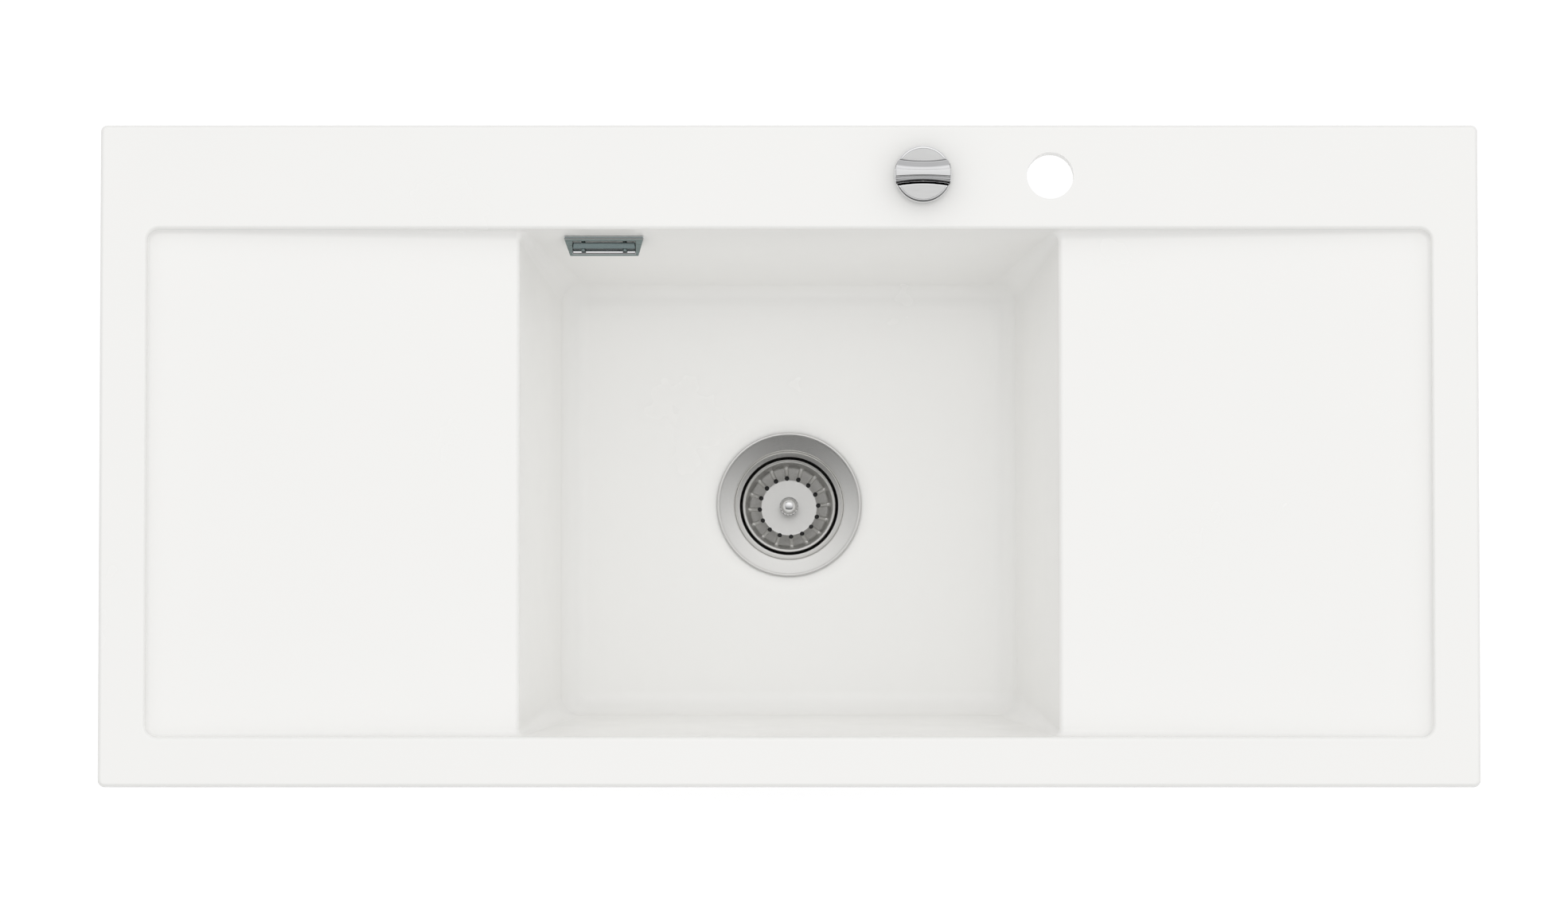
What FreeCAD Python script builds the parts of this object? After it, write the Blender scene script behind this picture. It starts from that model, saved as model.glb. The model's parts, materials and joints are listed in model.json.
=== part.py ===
"""Kitchen sink with a drainboard on each side, a lift-out basket strainer and a rotary waste control.

Millimetres. X runs to the right, Y to the back and Z up. The origin is the centre of the worktop
cut-out, on the worktop: the underside of the rim lies at Z = 0.
"""
import FreeCAD, Part
import math
import os
import re

import Sketcher

# ------------------------------------------------------------------ driving dimensions
SIZES = [
    # the fireclay basin
    ("sink_length", 1060), ("sink_width", 510), ("rim_thickness", 12), ("rim_corner", 5),
    ("rim_round", 3), ("rim_foot_round", 1), ("skirt_inset", 15), ("skirt_depth", 10),
    ("side_rim", 36), ("front_rim", 38), ("back_deck", 80), ("deck_line", 39),
    ("tray_outer_depth", 6.5), ("tray_inner_depth", 12), ("tray_corner", 9), ("tray_foot_round", 3.5),
    ("bowl_length", 416), ("bowl_depth", 190), ("bowl_wall", 11), ("bowl_floor", 12),
    ("wall_draft", 8.7), ("side_draft", 10.45), ("bowl_lip_round", 4), ("bowl_floor_round", 22),
    ("bowl_corner_low", 20), ("bowl_outer_round", 18), ("drain_x", 0), ("drain_y", -24),
    ("waste_hole_radius", 45), ("tap_x", 201), ("tap_hole_radius", 18),
    # the waste: flange, sump and body
    ("flange_radius", 56.5), ("flange_slope", 0.3), ("flange_sheet", 1.2), ("seat_margin", 9.5),
    ("flange_gasket_gap", 1.2), ("throat_radius", 42.5), ("throat_depth", 11), ("throat_round", 1.5),
    ("throat_step", 2), ("sump_radius", 38.5), ("sump_depth", 34.8), ("sump_hole_radius", 27),
    ("hub_drop", 8), ("hub_plate", 1.5), ("gasket_inset", 2), ("gasket_edge", 0.5),
    ("drain_hole_radius", 6.5), ("drain_hole_circle", 17.3), ("drain_hole_count", 6),
    ("body_gasket_thickness", 3), ("body_flange_radius", 60), ("body_flange_thickness", 4),
    ("cup_radius", 47), ("cup_wall", 3), ("cup_room", 8.7), ("outlet_radius", 23.9),
    ("outlet_bore", 21.5), ("outlet_neck", 22.7), ("outlet_length", 33),
    ("spider_thickness", 6.5), ("spider_arm", 5),
    ("spider_hub_radius", 11), ("insert_radius", 7.5), ("screw_radius", 5), ("screw_head_radius", 8),
    ("screw_head_thickness", 3), ("pin_radius", 2.8), ("pin_clearance", 0.3), ("pin_foot_radius", 5),
    ("pin_foot_thickness", 2), ("pin_drop", 24.5),
    # the lift-out basket
    ("basket_rim_radius", 36.7), ("basket_mouth_radius", 32.6), ("basket_base_radius", 22.5),
    ("basket_height", 20.5), ("basket_sheet", 1), ("basket_wall_run", 0.7), ("slot_width", 4),
    ("slot_count", 16), ("slot_margin", 1.5),
    ("slot_turn", 4), ("seal_radius", 29.5), ("seal_thickness", 2.8), ("seal_gap", 0.2),
    ("post_radius", 3), ("post_collar_radius", 5), ("post_collar_thickness", 2), ("ball_radius", 8),
    ("ball_lift", 5.5), ("ball_bore_depth", 4), ("basket_nut_flats", 10), ("basket_nut_thickness", 3),
    # lever, crank and actuator case on the waste body
    ("lever_arm", 22), ("lever_half", 3), ("lever_hub_radius", 6), ("shaft_radius", 3),
    ("shaft_fit", 0.05), ("running_gap", 0.3), ("crank_length", 12), ("crank_thickness", 3),
    ("crank_hub_radius", 5), ("crank_half", 2.5), ("crank_pin_radius", 1.5), ("crank_pin_length", 4.5),
    ("crank_tail", 10), ("eye_thickness", 2.5), ("eye_half", 4.5), ("eye_slot_drop", 1.4),
    ("boss_radius", 7),
    ("boss_end", 49.3), ("seal_ring_radius", 4.9), ("seal_ring_width", 2), ("seal_ring_pitch", 2.4),
    ("seal_pocket_depth", 5), ("case_gap", 0.2),
    ("case_depth", 11.5), ("case_front", 14), ("case_back", 24), ("case_below", 9), ("case_above", 19),
    ("case_end_wall", 4), ("case_wall", 2), ("lid_screw_radius", 1.2), ("lid_screw_length", 8),
    ("lid_screw_drop", 4),
    # pull cable
    ("sheath_radius", 3), ("sheath_bore", 1.2), ("wire_radius", 0.9), ("cable_bend", 60),
    ("ferrule_radius", 5), ("ferrule_length", 10), ("ferrule_socket", 6), ("wire_overlap", 12),
    # rotary knob and its under-deck case
    ("knob_x", 103), ("knob_hole_radius", 17), ("knob_radius", 22), ("knob_skirt", 7.4),
    ("knob_bevel", 1.5), ("grip_root", 2), ("grip_flare", 0.5), ("grip_half_length", 20.5),
    ("grip_half_width", 6), ("grip_waist", 4), ("grip_height", 8.5), ("collar_gasket_thickness", 1),
    ("collar_height", 3.8), ("collar_wall", 1.8), ("overcut", 1),
    ("bushing_radius", 15.5), ("bushing_head", 3), ("bushing_length", 28), ("bushing_bore", 8),
    ("spindle_radius", 6), ("stub_radius", 5), ("stub_length", 9.8), ("spindle_end", 50),
    ("grub_radius", 2), ("grub_length", 7), ("grub_height", 3.4), ("washer_radius", 23.5),
    ("washer_thickness", 2), ("deck_nut_flats", 44), ("deck_nut_thickness", 8), ("clip_radius", 11),
    ("clip_thickness", 1.4), ("pull_case_radius", 19), ("pull_case_bore", 14.2), ("pull_case_length", 49),
    ("pull_case_grip", 7.3), ("pull_lid_thickness", 3), ("slider_radius", 13.8), ("slider_length", 23),
    ("slider_floor", 4), ("slider_top", 38),
    # overflow
    ("overflow_x", -143), ("overflow_top", 22), ("bezel_height", 26), ("bezel_top_half", 30.8),
    ("bezel_low_half", 26.5), ("bezel_top_proud", 2.2), ("bezel_low_proud", 9.3), ("bezel_frame", 4),
    ("window_half", 24.3), ("slot_half", 23), ("slot_height", 14), ("slat_thickness", 2),
    ("slat_depth", 5), ("fit_gap", 0.2), ("overflow_screw_radius", 1.6), ("overflow_screw_place", 16),
    ("overflow_screw_length", 24), ("overflow_gasket_thickness", 3), ("overflow_gasket_border", 5),
    ("elbow_half", 28), ("elbow_height", 28), ("elbow_wall", 3), ("elbow_back", 26),
    ("elbow_spigot_length", 22), ("hose_radius", 13), ("hose_bore", 11.2), ("spigot_radius", 11),
    ("spigot_bore", 9), ("hose_bend", 70), ("hose_drop", 26), ("body_spigot_end", 75),
    ("hose_nut_radius", 16), ("hose_nut_length", 14), ("hose_nut_inset", 2),
]

# places and levels that follow from the driving dimensions; each row may use the rows above it
DERIVED = [
    ("tray_half", "sink_length / 2 - side_rim"),
    ("tray_back", "sink_width / 2 - back_deck"),
    ("tray_front", "front_rim - sink_width / 2"),
    ("bowl_half", "bowl_length / 2"),
    ("tray_end_level", "rim_thickness - tray_outer_depth"),
    ("lip_level", "rim_thickness - tray_inner_depth"),
    ("wall_run", "tan(wall_draft)"),
    ("side_run", "tan(side_draft)"),
    ("floor_level", "rim_thickness - bowl_depth"),
    ("underside", "floor_level - bowl_floor"),
    ("floor_half", "bowl_half - side_run * (lip_level - floor_level)"),
    ("deck_y", "sink_width / 2 - deck_line"),
    ("seat_radius", "flange_radius + seat_margin"),
    ("flange_under", "floor_level - seat_margin * flange_slope + flange_gasket_gap"),
    ("sump_floor", "flange_under - sump_depth"),
    ("hub_top", "sump_floor - hub_drop"),
    ("hub_under", "hub_top - hub_plate"),
    ("spider_top", "hub_under - running_gap"),
    ("spider_low", "spider_top - spider_thickness"),
    ("seal_low", "sump_floor + seal_gap"),
    ("basket_under", "seal_low + seal_thickness"),
    ("basket_top", "basket_under + basket_height"),
    ("ball_level", "basket_under + basket_sheet + ball_lift + ball_radius"),
    ("post_low", "seal_low - basket_nut_thickness"),
    ("body_top", "underside - body_gasket_thickness"),
    ("pin_low", "hub_top - pin_drop"),
    ("lever_level", "pin_low - running_gap - lever_half"),
    ("cable_level", "lever_level + crank_length"),
    ("cup_floor", "lever_level - cup_room"),
    ("outlet_end", "cup_floor - cup_wall - outlet_length"),
    ("case_side", "boss_end + case_gap"),
    ("crank_side", "case_side + case_wall + running_gap"),
    ("eye_side", "crank_side + crank_thickness + running_gap"),
    ("cable_side", "eye_side + eye_thickness / 2"),
    ("case_outside", "case_side + case_depth"),
    ("case_end", "lever_arm + case_back"),
    ("ferrule_end", "case_end + case_gap + ferrule_length"),
    ("sheath_start", "ferrule_end - ferrule_socket + case_gap"),
    ("knob_reach", "hypot(knob_x - drain_x; deck_y - drain_y)"),
    ("cable_reach", "sqrt(knob_reach^2 - cable_side^2)"),
    ("bushing_top", "rim_thickness + collar_gasket_thickness + bushing_head"),
    ("collar_low", "rim_thickness + collar_gasket_thickness"),
    ("knob_low", "collar_low + collar_height + running_gap"),
    ("knob_face", "knob_low + knob_skirt"),
    ("stub_top", "bushing_top + stub_length"),
    ("pull_case_top", "pull_case_grip - bushing_length - running_gap"),
    ("pull_case_low", "pull_case_top - pull_case_length"),
    ("pull_lid_low", "pull_case_low - case_gap - pull_lid_thickness"),
    ("ferrule_low", "pull_lid_low - case_gap - ferrule_length"),
    ("sheath_top", "ferrule_low + ferrule_socket - case_gap"),
    ("overflow_high", "rim_thickness - overflow_top"),
    ("overflow_low", "overflow_high - bezel_height"),
    ("overflow_mid", "(overflow_high + overflow_low) / 2"),
    ("wall_high", "tray_back - overflow_top * wall_run"),
    ("wall_low", "wall_high - bezel_height * wall_run"),
    ("outer_high", "wall_high + bowl_wall"),
    ("elbow_high", "-skirt_depth - fit_gap"),
    ("elbow_low", "elbow_high - elbow_height"),
    ("elbow_front_high", "tray_back + bowl_wall - (rim_thickness - elbow_high) * wall_run"),
    ("elbow_front_low", "elbow_front_high - elbow_height * wall_run"),
    ("hose_y", "outer_high + elbow_back / 2"),
    ("elbow_rear", "outer_high + elbow_back"),
    ("hose_level", "underside - hose_drop"),
    ("hose_reach", "hypot(overflow_x - drain_x; hose_y - drain_y)"),
    ("hose_top", "elbow_low - hose_nut_inset"),
    ("hose_end", "cup_radius + 2 * hose_nut_inset"),
]

NAMES = {name for name, _ in SIZES + DERIVED}
ACTUATOR_TURN = "atan2(deck_y - drain_y; knob_x - drain_x) + asin(cable_side / knob_reach)"
HOSE_TURN = "atan2(hose_y - drain_y; overflow_x - drain_x)"
DRAIN = ("drain_x", "drain_y", "0")
KNOB = ("knob_x", "deck_y", "0")
OVERFLOW = ("overflow_x", "0", "0")

NEAR = 0.1  # an edge this close to a level or a plane lies on it
BESIDE = 2  # an edge this far past a line lies beside it
START_TURN = 10  # any angle but none, so that a rotation keeps its axis until its rule is read

doc = FreeCAD.newDocument("kitchen_sink")
sheet = doc.addObject("Spreadsheet::Sheet", "Sizes")


def fill_sheet():
    """Write the driving numbers in columns A and B, and the places that follow from them below."""
    for row, (name, value) in enumerate(SIZES, start=1):
        sheet.set(f"A{row}", name)
        sheet.set(f"B{row}", str(value))
        sheet.setAlias(f"B{row}", name)
    for row, (name, rule) in enumerate(DERIVED, start=len(SIZES) + 1):
        sheet.set(f"A{row}", name)
        sheet.set(f"B{row}", "=" + rule)
        sheet.setAlias(f"B{row}", name)
    doc.recompute()


def bound(rule):
    """The rule as an expression that reads the sheet."""
    return re.sub(r"[a-z]\w*", lambda word: _cell(word.group()), rule)


def _cell(word):
    return "Sizes." + word if word in NAMES else word


def value(rule):
    """The number that a rule gives now."""
    return float(sheet.evalExpression(bound(rule).replace("Sizes.", "")))


# ------------------------------------------------------------------ sketches and features
def new_body(label, at=("0", "0", "0"), turn=None):
    body = doc.addObject("PartDesign::Body", label)
    body.Label = label
    for axis, rule in zip("xyz", at):
        body.setExpression("Placement.Base." + axis, bound(rule))
    if turn:
        body.Placement.Rotation = FreeCAD.Rotation(FreeCAD.Vector(0, 0, 1), START_TURN)
        body.setExpression("Placement.Rotation.Angle", bound(turn))
    return body


def sketch_on(body, role, offset="0"):
    """A sketch on one of the body's own origin planes, moved along that plane's normal."""
    sketch = body.newObject("Sketcher::SketchObject", "Sketch")
    plane = next(item for item in body.Origin.OriginFeatures if item.Role == role)
    sketch.AttachmentSupport = [(plane, "")]
    sketch.MapMode = "FlatFace"
    sketch.setExpression("AttachmentOffset.Base.z", bound(offset))
    return sketch


def pin_point(sketch, geometry, place, point):
    """Hold one point of a sketch at a place given by two rules."""
    for kind, rule in zip(("DistanceX", "DistanceY"), point):
        index = sketch.addConstraint(Sketcher.Constraint(kind, -1, 1, geometry, place, 1.0))
        sketch.setExpression(f"Constraints[{index}]", bound(rule))


def outline(sketch, points):
    """A closed run of straight lines through the points."""
    count = len(points)
    first = sketch.GeometryCount
    angles = [2 * math.pi * i / count for i in range(count + 1)]
    corners = [FreeCAD.Vector(math.cos(angle), math.sin(angle), 0) for angle in angles]
    for start, end in zip(corners, corners[1:]):
        sketch.addGeometry(Part.LineSegment(start, end))
    for i in range(count):
        after = first + (i + 1) % count
        sketch.addConstraint(Sketcher.Constraint("Coincident", first + i, 2, after, 1))
    for i, point in enumerate(points):
        pin_point(sketch, first + i, 1, point)


def rectangle(sketch, left, right, low, high):
    outline(sketch, [(left, low), (right, low), (right, high), (left, high)])


def circle(sketch, centre, radius):
    index = sketch.addGeometry(Part.Circle(FreeCAD.Vector(1, 1, 0), FreeCAD.Vector(0, 0, 1), 1))
    pin_point(sketch, index, 3, centre)
    held = sketch.addConstraint(Sketcher.Constraint("Radius", index, 1.0))
    sketch.setExpression(f"Constraints[{held}]", bound(radius))


def pad(body, sketch, length, backwards=False):
    """Add material along the sketch's normal, or against it."""
    feature = body.newObject("PartDesign::Pad", "Pad")
    feature.Profile = sketch
    feature.setExpression("Length", bound(length))
    feature.Reversed = backwards
    return feature


def pocket(body, sketch, length, backwards=False):
    """Cut along the sketch's normal; the plain direction of a pocket is against it."""
    feature = body.newObject("PartDesign::Pocket", "Pocket")
    feature.Profile = sketch
    feature.setExpression("Length", bound(length))
    feature.Reversed = not backwards
    return feature


def turned(label, profile, at=DRAIN, turn=None):
    """A body turned about its own upright axis from (radius, level) points."""
    body = new_body(label, at, turn)
    sketch = sketch_on(body, "XZ_Plane")
    outline(sketch, profile)
    feature = body.newObject("PartDesign::Revolution", "Turn")
    feature.Profile = sketch
    feature.ReferenceAxis = (sketch, ["V_Axis"])
    feature.Angle = 360
    return body


def ring(label, inner, outer, low, high, at=DRAIN):
    return turned(label, [(inner, low), (outer, low), (outer, high), (inner, high)], at)


def repeat(body, feature, count):
    """Copy a feature round the body's upright axis."""
    pattern = body.newObject("PartDesign::PolarPattern", "Pattern")
    pattern.Originals = [feature]
    pattern.Axis = (next(item for item in body.Origin.OriginFeatures if item.Role == "Z_Axis"), [""])
    pattern.Angle = 360
    pattern.setExpression("Occurrences", bound(count))
    body.Tip = pattern
    return pattern


def hexagon(sketch, flats, centre=("0", "0")):
    """A hexagon by its width across flats, with two corners on the first axis."""
    corner = f"({flats}) / sqrt(3)"
    half = f"({flats}) / 2"
    x, y = centre
    outline(sketch, [
        (f"{x} + {corner}", y), (f"{x} + {corner} / 2", f"{y} + {half}"),
        (f"{x} - {corner} / 2", f"{y} + {half}"), (f"{x} - {corner}", y),
        (f"{x} - {corner} / 2", f"{y} - {half}"), (f"{x} + {corner} / 2", f"{y} - {half}"),
    ])


def hex_nut(label, flats, bore, low, thickness, at=DRAIN):
    body = new_body(label, at)
    sketch = sketch_on(body, "XY_Plane", low)
    hexagon(sketch, flats)
    circle(sketch, ("0", "0"), bore)
    pad(body, sketch, thickness)
    return body


def loft(body, low, high, cut=False):
    """Straight-walled loft between two sketches."""
    kind = "PartDesign::SubtractiveLoft" if cut else "PartDesign::AdditiveLoft"
    feature = body.newObject(kind, "Loft")
    feature.Profile = low
    feature.Sections = [high]
    feature.Ruled = True
    return feature


def edges_where(shape, test):
    """Numbers of the shape's edges whose centre and box pass the test."""
    found = []
    for number, edge in enumerate(shape.Edges, start=1):
        if test(edge.CenterOfMass, edge.BoundBox):
            found.append(number)
    return found


def rounded(label, base, edges):
    """A Part fillet over (edge number, start radius, end radius) rows."""
    feature = doc.addObject("Part::Fillet", label)
    feature.Label = label
    feature.Base = base
    feature.Edges = edges
    doc.recompute()
    return feature


# ------------------------------------------------------------------ the basin
def block(label, left, right, front, back, low, high):
    item = doc.addObject("Part::Box", label)
    item.setExpression("Length", bound(f"({right}) - ({left})"))
    item.setExpression("Width", bound(f"({back}) - ({front})"))
    item.setExpression("Height", bound(f"({high}) - ({low})"))
    for axis, rule in zip("xyz", (left, front, low)):
        item.setExpression("Placement.Base." + axis, bound(rule))
    return item


def tapered(label, low, high):
    """A wedge that stands up: (level, half length, front, back) below and above."""
    item = doc.addObject("Part::Wedge", label)
    item.Placement.Rotation = FreeCAD.Rotation(FreeCAD.Vector(1, 0, 0), 90)
    for end, level in (("min", low[0]), ("max", high[0])):
        item.setExpression("Y" + end, bound(level))
    for prefix, (_, half, front, back) in (("", low), ("2", high)):
        item.setExpression(f"X{prefix}min", bound(f"-({half})"))
        item.setExpression(f"X{prefix}max", bound(half))
        item.setExpression(f"Z{prefix}min", bound(f"-({back})"))
        item.setExpression(f"Z{prefix}max", bound(f"-({front})"))
    return item


def upright(label, radius, low, high, place):
    item = doc.addObject("Part::Cylinder", label)
    item.setExpression("Radius", bound(radius))
    item.setExpression("Height", bound(f"({high}) - ({low})"))
    for axis, rule in zip("xyz", (place[0], place[1], low)):
        item.setExpression("Placement.Base." + axis, bound(rule))
    return item


def basin_blank():
    """Rim slab, skirt and the outside of the bowl, with its outer roundings."""
    rim = block("rim_slab", "-sink_length / 2", "sink_length / 2", "-sink_width / 2", "sink_width / 2",
                "0", "rim_thickness")
    skirt = block("skirt", "skirt_inset - sink_length / 2", "sink_length / 2 - skirt_inset",
                  "skirt_inset - sink_width / 2", "sink_width / 2 - skirt_inset", "-skirt_depth", "0")
    reach = "bowl_wall - wall_run * (rim_thickness"
    bowl = tapered(
        "bowl_outside",
        ("underside", "bowl_half + bowl_wall + side_run * (underside - lip_level)",
         f"tray_front - ({reach} - underside))", f"tray_back + {reach} - underside)"),
        ("0", "bowl_half + bowl_wall - side_run * lip_level",
         f"tray_front - ({reach}))", f"tray_back + {reach})"))
    blank = doc.addObject("Part::MultiFuse", "blank")
    blank.Shapes = [rim, skirt, bowl]
    blank.Refine = True
    doc.recompute()
    top = value("rim_thickness")
    under = value("underside")
    skirt_low = -value("skirt_depth")
    half = value("sink_length") / 2
    corner = value("rim_corner")
    lip = value("rim_round")
    foot = value("rim_foot_round")
    bowl_round = value("bowl_outer_round")
    shape = blank.Shape
    upright_corners = edges_where(
        shape, lambda c, b: b.ZLength > top - NEAR and c.z > 0 and abs(c.x) > half - NEAR)
    bowl_corners = edges_where(
        shape, lambda c, b: b.ZLength > 0.8 * (skirt_low - under) and b.ZMin < under + NEAR)
    bowl_bottom = edges_where(shape, lambda c, b: b.ZMax < under + NEAR)
    rows = [(n, corner, corner) for n in upright_corners]
    rows += [(n, bowl_round, bowl_round) for n in bowl_corners + bowl_bottom]
    shaped = rounded("blank_corners", blank, rows)
    rim_top = edges_where(shaped.Shape, lambda c, b: b.ZMin > top - NEAR)
    rim_low = edges_where(
        shaped.Shape, lambda c, b: abs(b.ZMin) < NEAR and abs(b.ZMax) < NEAR and _at_rim(c, half))
    return rounded("blank_rounded", shaped,
                   [(n, lip, lip) for n in rim_top] + [(n, foot, foot) for n in rim_low])


def _at_rim(centre, half):
    """Whether an edge lies on the rim's outline and not on the skirt's."""
    inset = value("skirt_inset")
    return abs(centre.x) > half - inset / 2 or abs(centre.y) > value("sink_width") / 2 - inset / 2


def tray_profile():
    """The hollow seen from the front: two sloping trays and the bowl, as an upright sketch."""
    sketch = doc.addObject("Sketcher::SketchObject", "tray_profile")
    sketch.Placement.Rotation = FreeCAD.Rotation(FreeCAD.Vector(1, 0, 0), 90)
    high = "2 * rim_thickness"
    outline(sketch, [
        ("-tray_half", high), ("-tray_half", "tray_end_level"), ("-bowl_half", "lip_level"),
        ("-floor_half", "floor_level"), ("floor_half", "floor_level"), ("bowl_half", "lip_level"),
        ("tray_half", "tray_end_level"), ("tray_half", high),
    ])
    return sketch


def basin_hollow():
    """Both trays and the bowl as one solid that is later cut away."""
    run = doc.addObject("Part::Extrusion", "hollow_run")
    run.Base = tray_profile()
    run.DirMode = "Custom"
    run.Dir = FreeCAD.Vector(0, 1, 0)
    run.Solid = True
    run.setExpression("LengthFwd", bound("sink_width / 2"))
    run.setExpression("LengthRev", bound("sink_width / 2"))
    doc.recompute()
    deep = value("floor_level")
    lip = value("lip_level")
    bowl_half = value("bowl_half")
    tray_half = value("tray_half")
    width = value("sink_width")
    rows = []
    for level, radius in ((deep, "bowl_floor_round"), (lip, "bowl_lip_round")):
        wanted = edges_where(
            run.Shape, lambda c, b: abs(c.z - level) < NEAR and b.YLength > 0.9 * width)
        rows += [(n, value(radius), value(radius)) for n in wanted]
    smooth = rounded("hollow_smooth", run, rows)
    above = "(2 * rim_thickness)"
    walls = tapered(
        "hollow_walls",
        ("floor_level - bowl_floor", "sink_length",
         "tray_front + wall_run * (bowl_depth + bowl_floor)",
         "tray_back - wall_run * (bowl_depth + bowl_floor)"),
        (above, "sink_length", "tray_front - wall_run * rim_thickness",
         "tray_back + wall_run * rim_thickness"))
    hollow = doc.addObject("Part::Common", "hollow_plain")
    hollow.Base = smooth
    hollow.Tool = walls
    doc.recompute()
    corner = value("tray_corner")
    ends = edges_where(
        hollow.Shape, lambda c, b: abs(c.x) > tray_half - NEAR and b.ZLength > b.YLength + BESIDE)
    squared = rounded("hollow_ends", hollow, [(n, corner, corner) for n in ends])
    foot = value("tray_foot_round")
    low = value("bowl_corner_low")
    soft = value("bowl_floor_round")
    rows = []
    for number, edge in enumerate(squared.Shape.Edges, start=1):
        centre = edge.CenterOfMass
        box = edge.BoundBox
        at_end = abs(centre.x) > tray_half - corner - NEAR
        if centre.z > value("rim_thickness") or (at_end and box.ZLength > corner):
            continue
        if box.YLength > 0.2 * width and not at_end:
            continue
        if at_end or abs(centre.x) > bowl_half + BESIDE or centre.z > lip - 2 * foot:
            rows.append((number, foot, foot))
        elif box.ZMin > deep + soft / 2:
            down = edge.valueAt(edge.FirstParameter).z > centre.z
            rows.append((number, foot, low) if down else (number, low, foot))
        else:
            rows.append((number, low, low))
    return rounded("hollow", squared, rows)


def basin_holes():
    """Waste hole with its coned seat, tap hole, knob hole and overflow slot."""
    cone = doc.addObject("Part::Cone", "waste_seat")
    cone.setExpression("Radius1", bound("waste_hole_radius"))
    cone.setExpression("Radius2", bound("seat_radius"))
    depth = "(seat_radius - waste_hole_radius) * flange_slope"
    cone.setExpression("Height", bound(depth))
    for axis, rule in zip("xyz", ("drain_x", "drain_y", f"floor_level - {depth}")):
        cone.setExpression("Placement.Base." + axis, bound(rule))
    holes = [
        cone,
        upright("waste_hole", "waste_hole_radius", "underside - overcut", "floor_level",
                ("drain_x", "drain_y")),
        upright("tap_hole", "tap_hole_radius", "-2 * skirt_depth", "2 * rim_thickness",
                ("tap_x", "deck_y")),
        upright("knob_hole", "knob_hole_radius", "-2 * skirt_depth", "2 * rim_thickness",
                ("knob_x", "deck_y")),
        block("overflow_slot", "overflow_x - slot_half", "overflow_x + slot_half",
              "wall_low - bowl_wall", "outer_high + bowl_wall",
              "overflow_mid - slot_height / 2", "overflow_mid + slot_height / 2"),
    ]
    joined = doc.addObject("Part::MultiFuse", "basin_holes")
    joined.Shapes = holes
    return joined


def sink_basin():
    carved = doc.addObject("Part::Cut", "carved")
    carved.Base = basin_blank()
    carved.Tool = basin_hollow()
    doc.recompute()
    top = value("rim_thickness")
    inside_x = value("sink_length") / 2 - value("side_rim") / 2
    inside_y = value("sink_width") / 2 - value("front_rim") / 2
    edge_round = value("rim_round")
    inner_top = edges_where(
        carved.Shape,
        lambda c, b: b.ZMin > top - NEAR and abs(c.x) < inside_x and abs(c.y) < inside_y)
    shaped = rounded("carved_rounded", carved, [(n, edge_round, edge_round) for n in inner_top])
    basin = doc.addObject("Part::Cut", "sink_basin")
    basin.Label = "sink_basin"
    basin.Base = shaped
    basin.Tool = basin_holes()
    doc.recompute()
    return basin


# ------------------------------------------------------------------ waste
def waste_flange():
    """Coned rim, throat, sump and a hub plate with a ring of drain holes, all one sheet."""
    edge = "flange_under"
    fall = "flange_slope * (flange_radius - throat_radius)"
    neck = "(sump_radius + flange_sheet)"
    wall = "(throat_radius + flange_sheet)"
    body = turned("waste_flange", [
        ("flange_radius", edge), ("flange_radius", f"{edge} + flange_sheet"),
        ("throat_radius + throat_round", f"{edge} + flange_sheet - {fall} + throat_round * flange_slope"),
        ("throat_radius", f"{edge} + flange_sheet - {fall} - throat_round"),
        ("throat_radius", f"{edge} - throat_depth"),
        ("sump_radius", f"{edge} - throat_depth - throat_step"), ("sump_radius", "sump_floor"),
        ("sump_hole_radius", "sump_floor"), ("sump_hole_radius", "hub_top"),
        ("screw_radius + fit_gap", "hub_top"), ("screw_radius + fit_gap", "hub_under"),
        ("sump_hole_radius + flange_sheet", "hub_under"),
        ("sump_hole_radius + flange_sheet", "sump_floor - flange_sheet"),
        (neck, "sump_floor - flange_sheet"),
        (neck, f"{edge} - throat_depth - throat_step - flange_sheet / 2"),
        (wall, f"{edge} - throat_depth - flange_sheet / 2"), (wall, f"{edge} - {fall} - throat_round"),
        (f"{wall} + throat_round", f"{edge} - {fall} + flange_slope * (flange_sheet + throat_round)"),
    ])
    sketch = sketch_on(body, "XY_Plane", "hub_under")
    circle(sketch, ("drain_hole_circle", "0"), "drain_hole_radius")
    hole = pocket(body, sketch, "hub_plate")
    repeat(body, hole, "drain_hole_count")


def flange_gasket():
    """Coned rubber ring between the flange and the seat in the fireclay."""
    inner = "waste_hole_radius + gasket_inset"
    outer = "flange_radius - gasket_edge"
    seat_in = f"floor_level - (seat_radius - ({inner})) * flange_slope"
    seat_out = f"floor_level - (seat_radius - ({outer})) * flange_slope"
    low, high = "fit_gap / 2", "flange_gasket_gap - fit_gap / 2"
    turned("flange_gasket", [
        (inner, f"{seat_in} + {low}"), (outer, f"{seat_out} + {low}"),
        (outer, f"{seat_out} + {high}"), (inner, f"{seat_in} + {high}"),
    ])


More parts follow.
